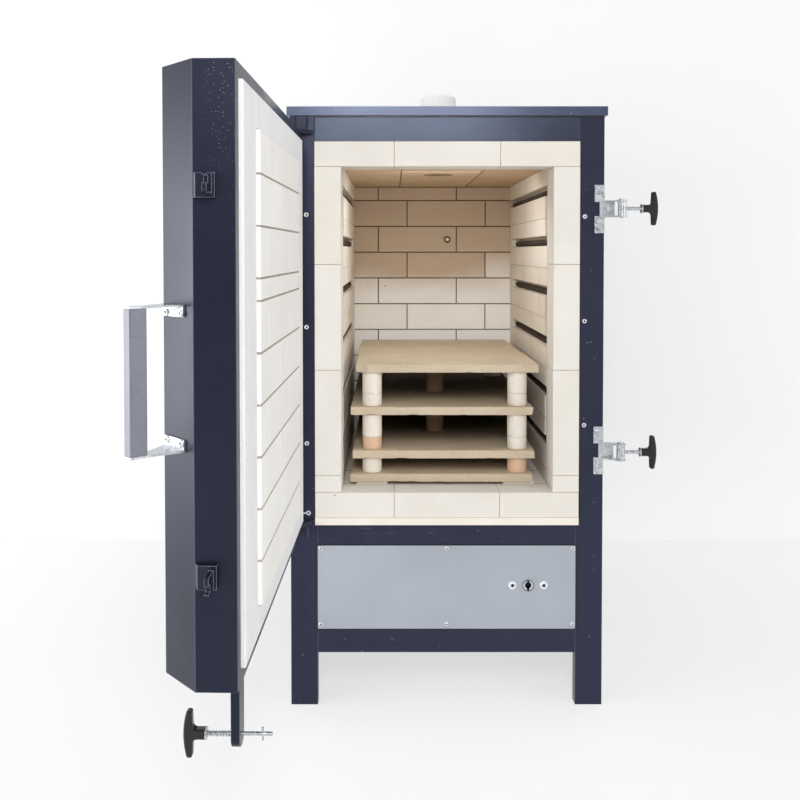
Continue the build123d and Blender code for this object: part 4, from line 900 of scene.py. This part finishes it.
# screws: pan heads with a hexagon socket; shares of the radius and of the height
headLook = {
    "rim": [(1.0, 0.0), (1.0, 0.3), (0.95, 0.6), (0.8, 0.88), (0.6, 1.0)],
    "socket": [(0.5, 1.0), (0.46, 0.9), (0.44, 0.3), (0.1, 0.25)], "steps": 30, "tall": 2.6,
}


def sixSided(row, angle):
    if row < len(headLook["rim"]):
        return 1.0
    turn = angle % (math.pi / 3) - math.pi / 6
    return math.cos(math.pi / 6) / math.cos(turn)


def screwHeads(name, nodeName, body, axis):
    heads = []
    dark = set()
    total = 0
    steps, tall = headLook["steps"], headLook["tall"]
    for low, high in islandBoxes(nodeName):
        across = max(high - low) / 2 * 1000
        seat = (low + high) / 2 - axis * tall / 2000
        profile = [(across * share, tall * rise) for share, rise in headLook["rim"] + headLook["socket"]]
        vertices, faces = turned(profile, seat, axis, steps, sixSided)
        # the socket's walls and floor take a dark material as painted shade, the flat underside does not
        first = (len(headLook["rim"]) + 1) * steps
        dark.update(range(total + first, total + len(faces)))
        dark.discard(total + len(faces) - 2)
        total += len(faces)
        heads.append((vertices, faces))
    mesh = joined(name, heads)
    newPiece(name, mesh, screwZinc, body, "zinc", nodeName)
    mesh.materials.append(shadedSocket)
    for index in dark:
        mesh.polygons[index].material_index = 1


# the photographed door stands this far from shut, and its chamfer faces halfway between two of its sides
doorTurn = math.radians(-91.18)
chamferOut = Vector((math.cos(doorTurn) + math.sin(doorTurn), math.sin(doorTurn) - math.cos(doorTurn), 0))
screwHeads("frontScrews", "front_screws", "kiln", outward)
screwHeads("handleScrews", "handle_screws", "door", chamferOut.normalized())
print("screws done")

# heating elements: open coils of resistance wire lying in the grooves
coilLook = {
    "middle": 242.0, "reach": 7.4, "wire": 1.25, "pitch": 6.4, "front": 90.0, "steps": 11, "sides": 5,
    "levels": (1133.8, 1019.8, 905.8, 791.8, 677.8, 563.8),
    "ends": (668.0, 605.0, 605.0, 605.0, 605.0, 605.0),
    "startMost": 6.28, "sag": 0.35, "sagLong": 23.0,
    "tail": 3.5, "tailSides": 12, "tailIn": 6.0, "tailEnd": 830.0,
}
linkLook = {"steps": 32, "stepsPerTurn": 8, "reach": 2.0, "wire": 1.7, "sides": 8}
swing = coilLook["reach"] - coilLook["wire"]
coilParts = []
rng = random.Random(5)
for side in (-coilLook["middle"], coilLook["middle"]):
    for level, far in zip(coilLook["levels"], coilLook["ends"]):
        count = int((far - coilLook["front"]) / coilLook["pitch"] * coilLook["steps"])
        start = rng.random() * coilLook["startMost"]
        points = []
        for step in range(count):
            angle = start + 2 * math.pi * step / coilLook["steps"]
            y = coilLook["front"] + coilLook["pitch"] * step / coilLook["steps"]
            sag = coilLook["sag"] * math.sin(y / coilLook["sagLong"] + start)
            points.append(at(side + swing * math.cos(angle) + sag, y, level + swing * math.sin(angle)))
        coilParts.append(sweep(points, coilLook["wire"], coilLook["sides"]))
    for number, (level, far) in enumerate(zip(coilLook["levels"], coilLook["ends"])):
        # the tail, and the twisted link from one coil down to its partner
        tail = [at(side, far - coilLook["tailIn"], level), at(side, coilLook["tailEnd"], level)]
        coilParts.append(sweep(tail, coilLook["tail"], coilLook["tailSides"]))
        if number % 2 == 0:
            drop = level - coilLook["levels"][number + 1]
            for turn in (0.0, math.pi):
                points = []
                for step in range(linkLook["steps"] + 1):
                    twist = turn + 2 * math.pi * step / linkLook["stepsPerTurn"]
                    points.append(at(
                        side + linkLook["reach"] * math.cos(twist),
                        coilLook["front"] + linkLook["reach"] * math.sin(twist),
                        level - drop * step / linkLook["steps"],
                    ))
                coilParts.append(sweep(points, linkLook["wire"], linkLook["sides"]))
newPiece("elementCoils", joined("elementCoils", coilParts), heatWire, "kiln", "element_wire", "elements")
print("coils done")


def weathered(nodeName, look):
    # a shelf with softened, chipped arrises: cut into a fine grid, then worn inwards only
    shape = flatShape(nodeName)
    low = Vector([min(v.co[i] for v in shape.verts) for i in range(3)])
    high = Vector([max(v.co[i] for v in shape.verts) for i in range(3)])
    for axis in range(3):
        normal = Vector([1.0 if i == axis else 0.0 for i in range(3)])
        size = (high[axis] - low[axis]) * 1000
        marks = [mark for cut in look["edgeCuts"] for mark in (cut, size - cut)]
        count = int(size / look["step"])
        grid = [size * k / count for k in range(1, count)]
        marks += [mark for mark in grid if look["inside"] < mark < size - look["inside"]]
        for mark in sorted(marks):
            everything = list(shape.verts) + list(shape.edges) + list(shape.faces)
            bmesh.ops.bisect_plane(
                shape, geom=everything, dist=0.00001, plane_co=low + normal * mark / 1000, plane_no=normal,
            )
    shape.normal_update()
    moves = []
    for vertex in shape.verts:
        spot = vertex.co
        gaps = sorted(min(spot[i] - low[i], high[i] - spot[i]) for i in range(3))
        near = max(0.0, 1.0 - gaps[1] / (look["reach"] / 1000))
        grain = sum(noise.noise(spot * scale) * share for scale, share in look["grains"])
        bite = noise.noise(spot * look["biteScale"] + Vector(look["biteShift"])) - look["biteFrom"]
        bite = max(0.0, bite) * look["biteGain"]
        depth = look["rough"] * (0.5 + grain) + near * near * (look["round"] + look["bite"] * bite)
        moves.append((vertex, vertex.normal * max(0.0, depth) / 1000))
    for vertex, push in moves:
        vertex.co -= push
    mesh = bpy.data.meshes.new(nodeName + "Worn")
    shape.to_mesh(mesh)
    shape.free()
    mesh.shade_smooth()
    return mesh


shelfWear = {
    "edgeCuts": (1.2, 3.0, 5.5), "inside": 8.0, "step": 7.0, "rough": 0.25, "round": 0.8, "reach": 7.0,
    "grains": ((140, 0.5), (420, 0.3)), "bite": 2.6, "biteFrom": 0.22, "biteScale": 38, "biteGain": 2.5,
    "biteShift": (3.1, 1.7, 0.4),
}
for number, nodeName in enumerate(("shelf_1", "shelf_2", "shelf_3", "shelf_top")):
    mesh = weathered(nodeName, shelfWear)
    newPiece(f"kilnShelf{number + 1}", mesh, shelfClay, "kiln", "kiln_shelf", nodeName)

# two of the front props are newer and pinker; those in the middle take a dark brown as painted shade
propLooks = {
    "front": 150.0, "apart": 100.0, "leftLevels": (552, 580), "rightLevels": (499, 534), "plain": 0.12,
    "wander": 0.1, "grain": 31, "shadedSpan": (-60, 30),
}


def propTint(spot):
    x, y, z = (spot - at(0, 0, 0)) * 1000
    low, high = propLooks["leftLevels"] if x < 0 else propLooks["rightLevels"]
    if abs(x) > propLooks["apart"] and y < propLooks["front"] and low < z < high:
        return 1.0
    return propLooks["plain"] + propLooks["wander"] * noise.noise(spot * propLooks["grain"])


mesh = edgedMesh("shelf_props", 1.1, 2, sharp=50.0, chosen=propTint)
smoothByAngle(mesh, 40)
newPiece("shelfPosts", mesh, propClay, "kiln", "kiln_shelf", "shelf_props")
mesh.materials.append(shadedPropClay)
for face in mesh.polygons:
    x = (face.center - at(0, 0, 0)).x * 1000
    if propLooks["shadedSpan"][0] < x < propLooks["shadedSpan"][1]:
        face.material_index = 1
mesh = edgedMesh("door_rim_fibre", 2.2, 3, seed=4)
smoothByAngle(mesh, 40)
newPiece("doorFibre", mesh, rimFibre, "door", "fibre", "door_rim_fibre")
mesh = edgedMesh("vent_bung", 1.2, 2, seed=4, sharp=40.0)
smoothByAngle(mesh, 40)
newPiece("ventBung", mesh, bungClay, "vent_bung", "bung_clay", "vent_bung")
print("shelves, posts and fibre done")

# carried-over nodes keep their shape and take a better finish
finishes = {
    zinc: "latch_bolt_high latch_bolt_low latch_washer_high latch_washer_low pivot_pins "
          "key_rod key_washer key_spring",
    rawSteel: "trays_and_bearers",
    blackPlastic: "cable_gland",
    greyPlastic: "interlock_switch switch_plunger",
    boardFibre: "backing_boards door_board",
    stripFibre: "sill_fibre",
    porcelain: "terminal_bushes thermocouple",
    brass: "terminal_clamps",
    bungClay: "vent_collar",
}
for material, names in finishes.items():
    for nodeName in names.split():
        for slot in nodes[nodeName].material_slots:
            slot.material = material
print("finishes on carried-over nodes done")

# camera at the photograph's place: the principal point lies above the frame's middle
cameraLook = {
    "x": -122.0, "y": -1881.0, "z": 998.15, "down": 1.40, "yaw": 0.03, "roll": 0.02, "lens": 39.06,
    "shiftX": 0.0119, "shiftY": -0.15865,
}
cameraData = bpy.data.cameras.new("photoCamera")
cameraData.sensor_width = 36.0
cameraData.lens = cameraLook["lens"]
cameraData.shift_x = cameraLook["shiftX"]
cameraData.shift_y = cameraLook["shiftY"]
cameraData.clip_start = 0.05
camera = bpy.data.objects.new("photoCamera", cameraData)
camera.location = at(cameraLook["x"], cameraLook["y"], cameraLook["z"])
turns = (90 - cameraLook["down"], cameraLook["roll"], cameraLook["yaw"])
camera.rotation_euler = [math.radians(turn) for turn in turns]
scene.collection.objects.link(camera)
scene.camera = camera

# pale floor, and a backdrop that is clear from behind
stageLook = {
    "half": 7.0, "backdrop": 1.06, "tall": 5.0, "light": "#f6f6f6", "floorLift": 0.64, "wallLift": 0.44,
    "blendTo": 0.5, "sky": 0.45,
}


def stageSheet(name, corners):
    mesh = bpy.data.meshes.new(name)
    mesh.from_pydata(corners, [], [(0, 1, 2, 3)])
    piece = bpy.data.objects.new(name, mesh)
    scene.collection.objects.link(piece)
    material, tree, shader, place = startMaterial(name)
    shader.inputs["Base Color"].default_value = colour(stageLook["light"])
    shader.inputs["Roughness"].default_value = 0.9
    shader.inputs["Specular IOR Level"].default_value = 0.1
    glow = tree.nodes.new("ShaderNodeEmission")
    glow.inputs["Color"].default_value = (1, 1, 1, 1)
    paths = tree.nodes.new("ShaderNodeLightPath")
    seen = maths(tree, "MAXIMUM", paths.outputs["Is Camera Ray"], paths.outputs["Is Glossy Ray"])
    height = separate(tree, place)["Z"]
    lift = ramp(tree, height, 0.0, stageLook["blendTo"], stageLook["floorLift"], stageLook["wallLift"])
    front = mixShaders(tree, maths(tree, "MULTIPLY", seen, lift), shader.outputs[0], glow.outputs[0])
    clear = tree.nodes.new("ShaderNodeBsdfTransparent")
    behind = tree.nodes.new("ShaderNodeNewGeometry").outputs["Backfacing"]
    final = mixShaders(tree, behind, front, clear.outputs[0])
    tree.links.new(final, tree.nodes["Material Output"].inputs["Surface"])
    mesh.materials.append(material)


half, back, tall = stageLook["half"], stageLook["backdrop"], stageLook["tall"]
stageSheet("studioFloor", [(-half, -half, 0), (half, -half, 0), (half, half, 0), (-half, half, 0)])
stageSheet("studioBackdrop", [(-half, back, 0), (half, back, 0), (half, back, tall), (-half, back, tall)])

# soft studio light: two boxes above the camera, a large one on each side, a small one in the chamber,
# and one that washes the backdrop
lampSets = {
    "frontBox": {"at": (-60, -2700, 1740), "to": (0, 0, 900), "size": (0.8, 0.6), "watts": 15.0},
    "highBox": {"at": (-60, -2600, 2380), "to": (0, 600, 700), "size": (0.7, 0.5), "watts": 21.0},
    "leftBox": {"at": (-3400, -900, 400), "to": (0, 300, 400), "size": (2.6, 2.4), "watts": 132.0},
    "rightBox": {"at": (2900, -1500, 1200), "to": (0, 0, 700), "size": (2.0, 2.2), "watts": 25.0},
    "chamberFill": {"at": (0, 130, 1165), "to": (0, 430, 600), "size": (0.22, 0.12), "watts": 0.8},
    "backdropWash": {"at": (2150, 350, 900), "to": (1650, 1060, 800), "size": (1.0, 1.8), "watts": 2.0},
}
for label, look in lampSets.items():
    lampData = bpy.data.lights.new(label, "AREA")
    lampData.shape = "RECTANGLE"
    lampData.size, lampData.size_y = look["size"]
    lampData.energy = look["watts"]
    lamp = bpy.data.objects.new(label, lampData)
    lamp.location = at(*look["at"])
    lamp.rotation_euler = (at(*look["to"]) - lamp.location).to_track_quat("-Z", "Y").to_euler()
    scene.collection.objects.link(lamp)
world = bpy.data.worlds.new("studio")
world.use_nodes = True
world.node_tree.nodes["Background"].inputs["Color"].default_value = (1, 1, 1, 1)
world.node_tree.nodes["Background"].inputs["Strength"].default_value = stageLook["sky"]
scene.world = world
scene.view_settings.view_transform = "Standard"
print("camera, stage and lights done")
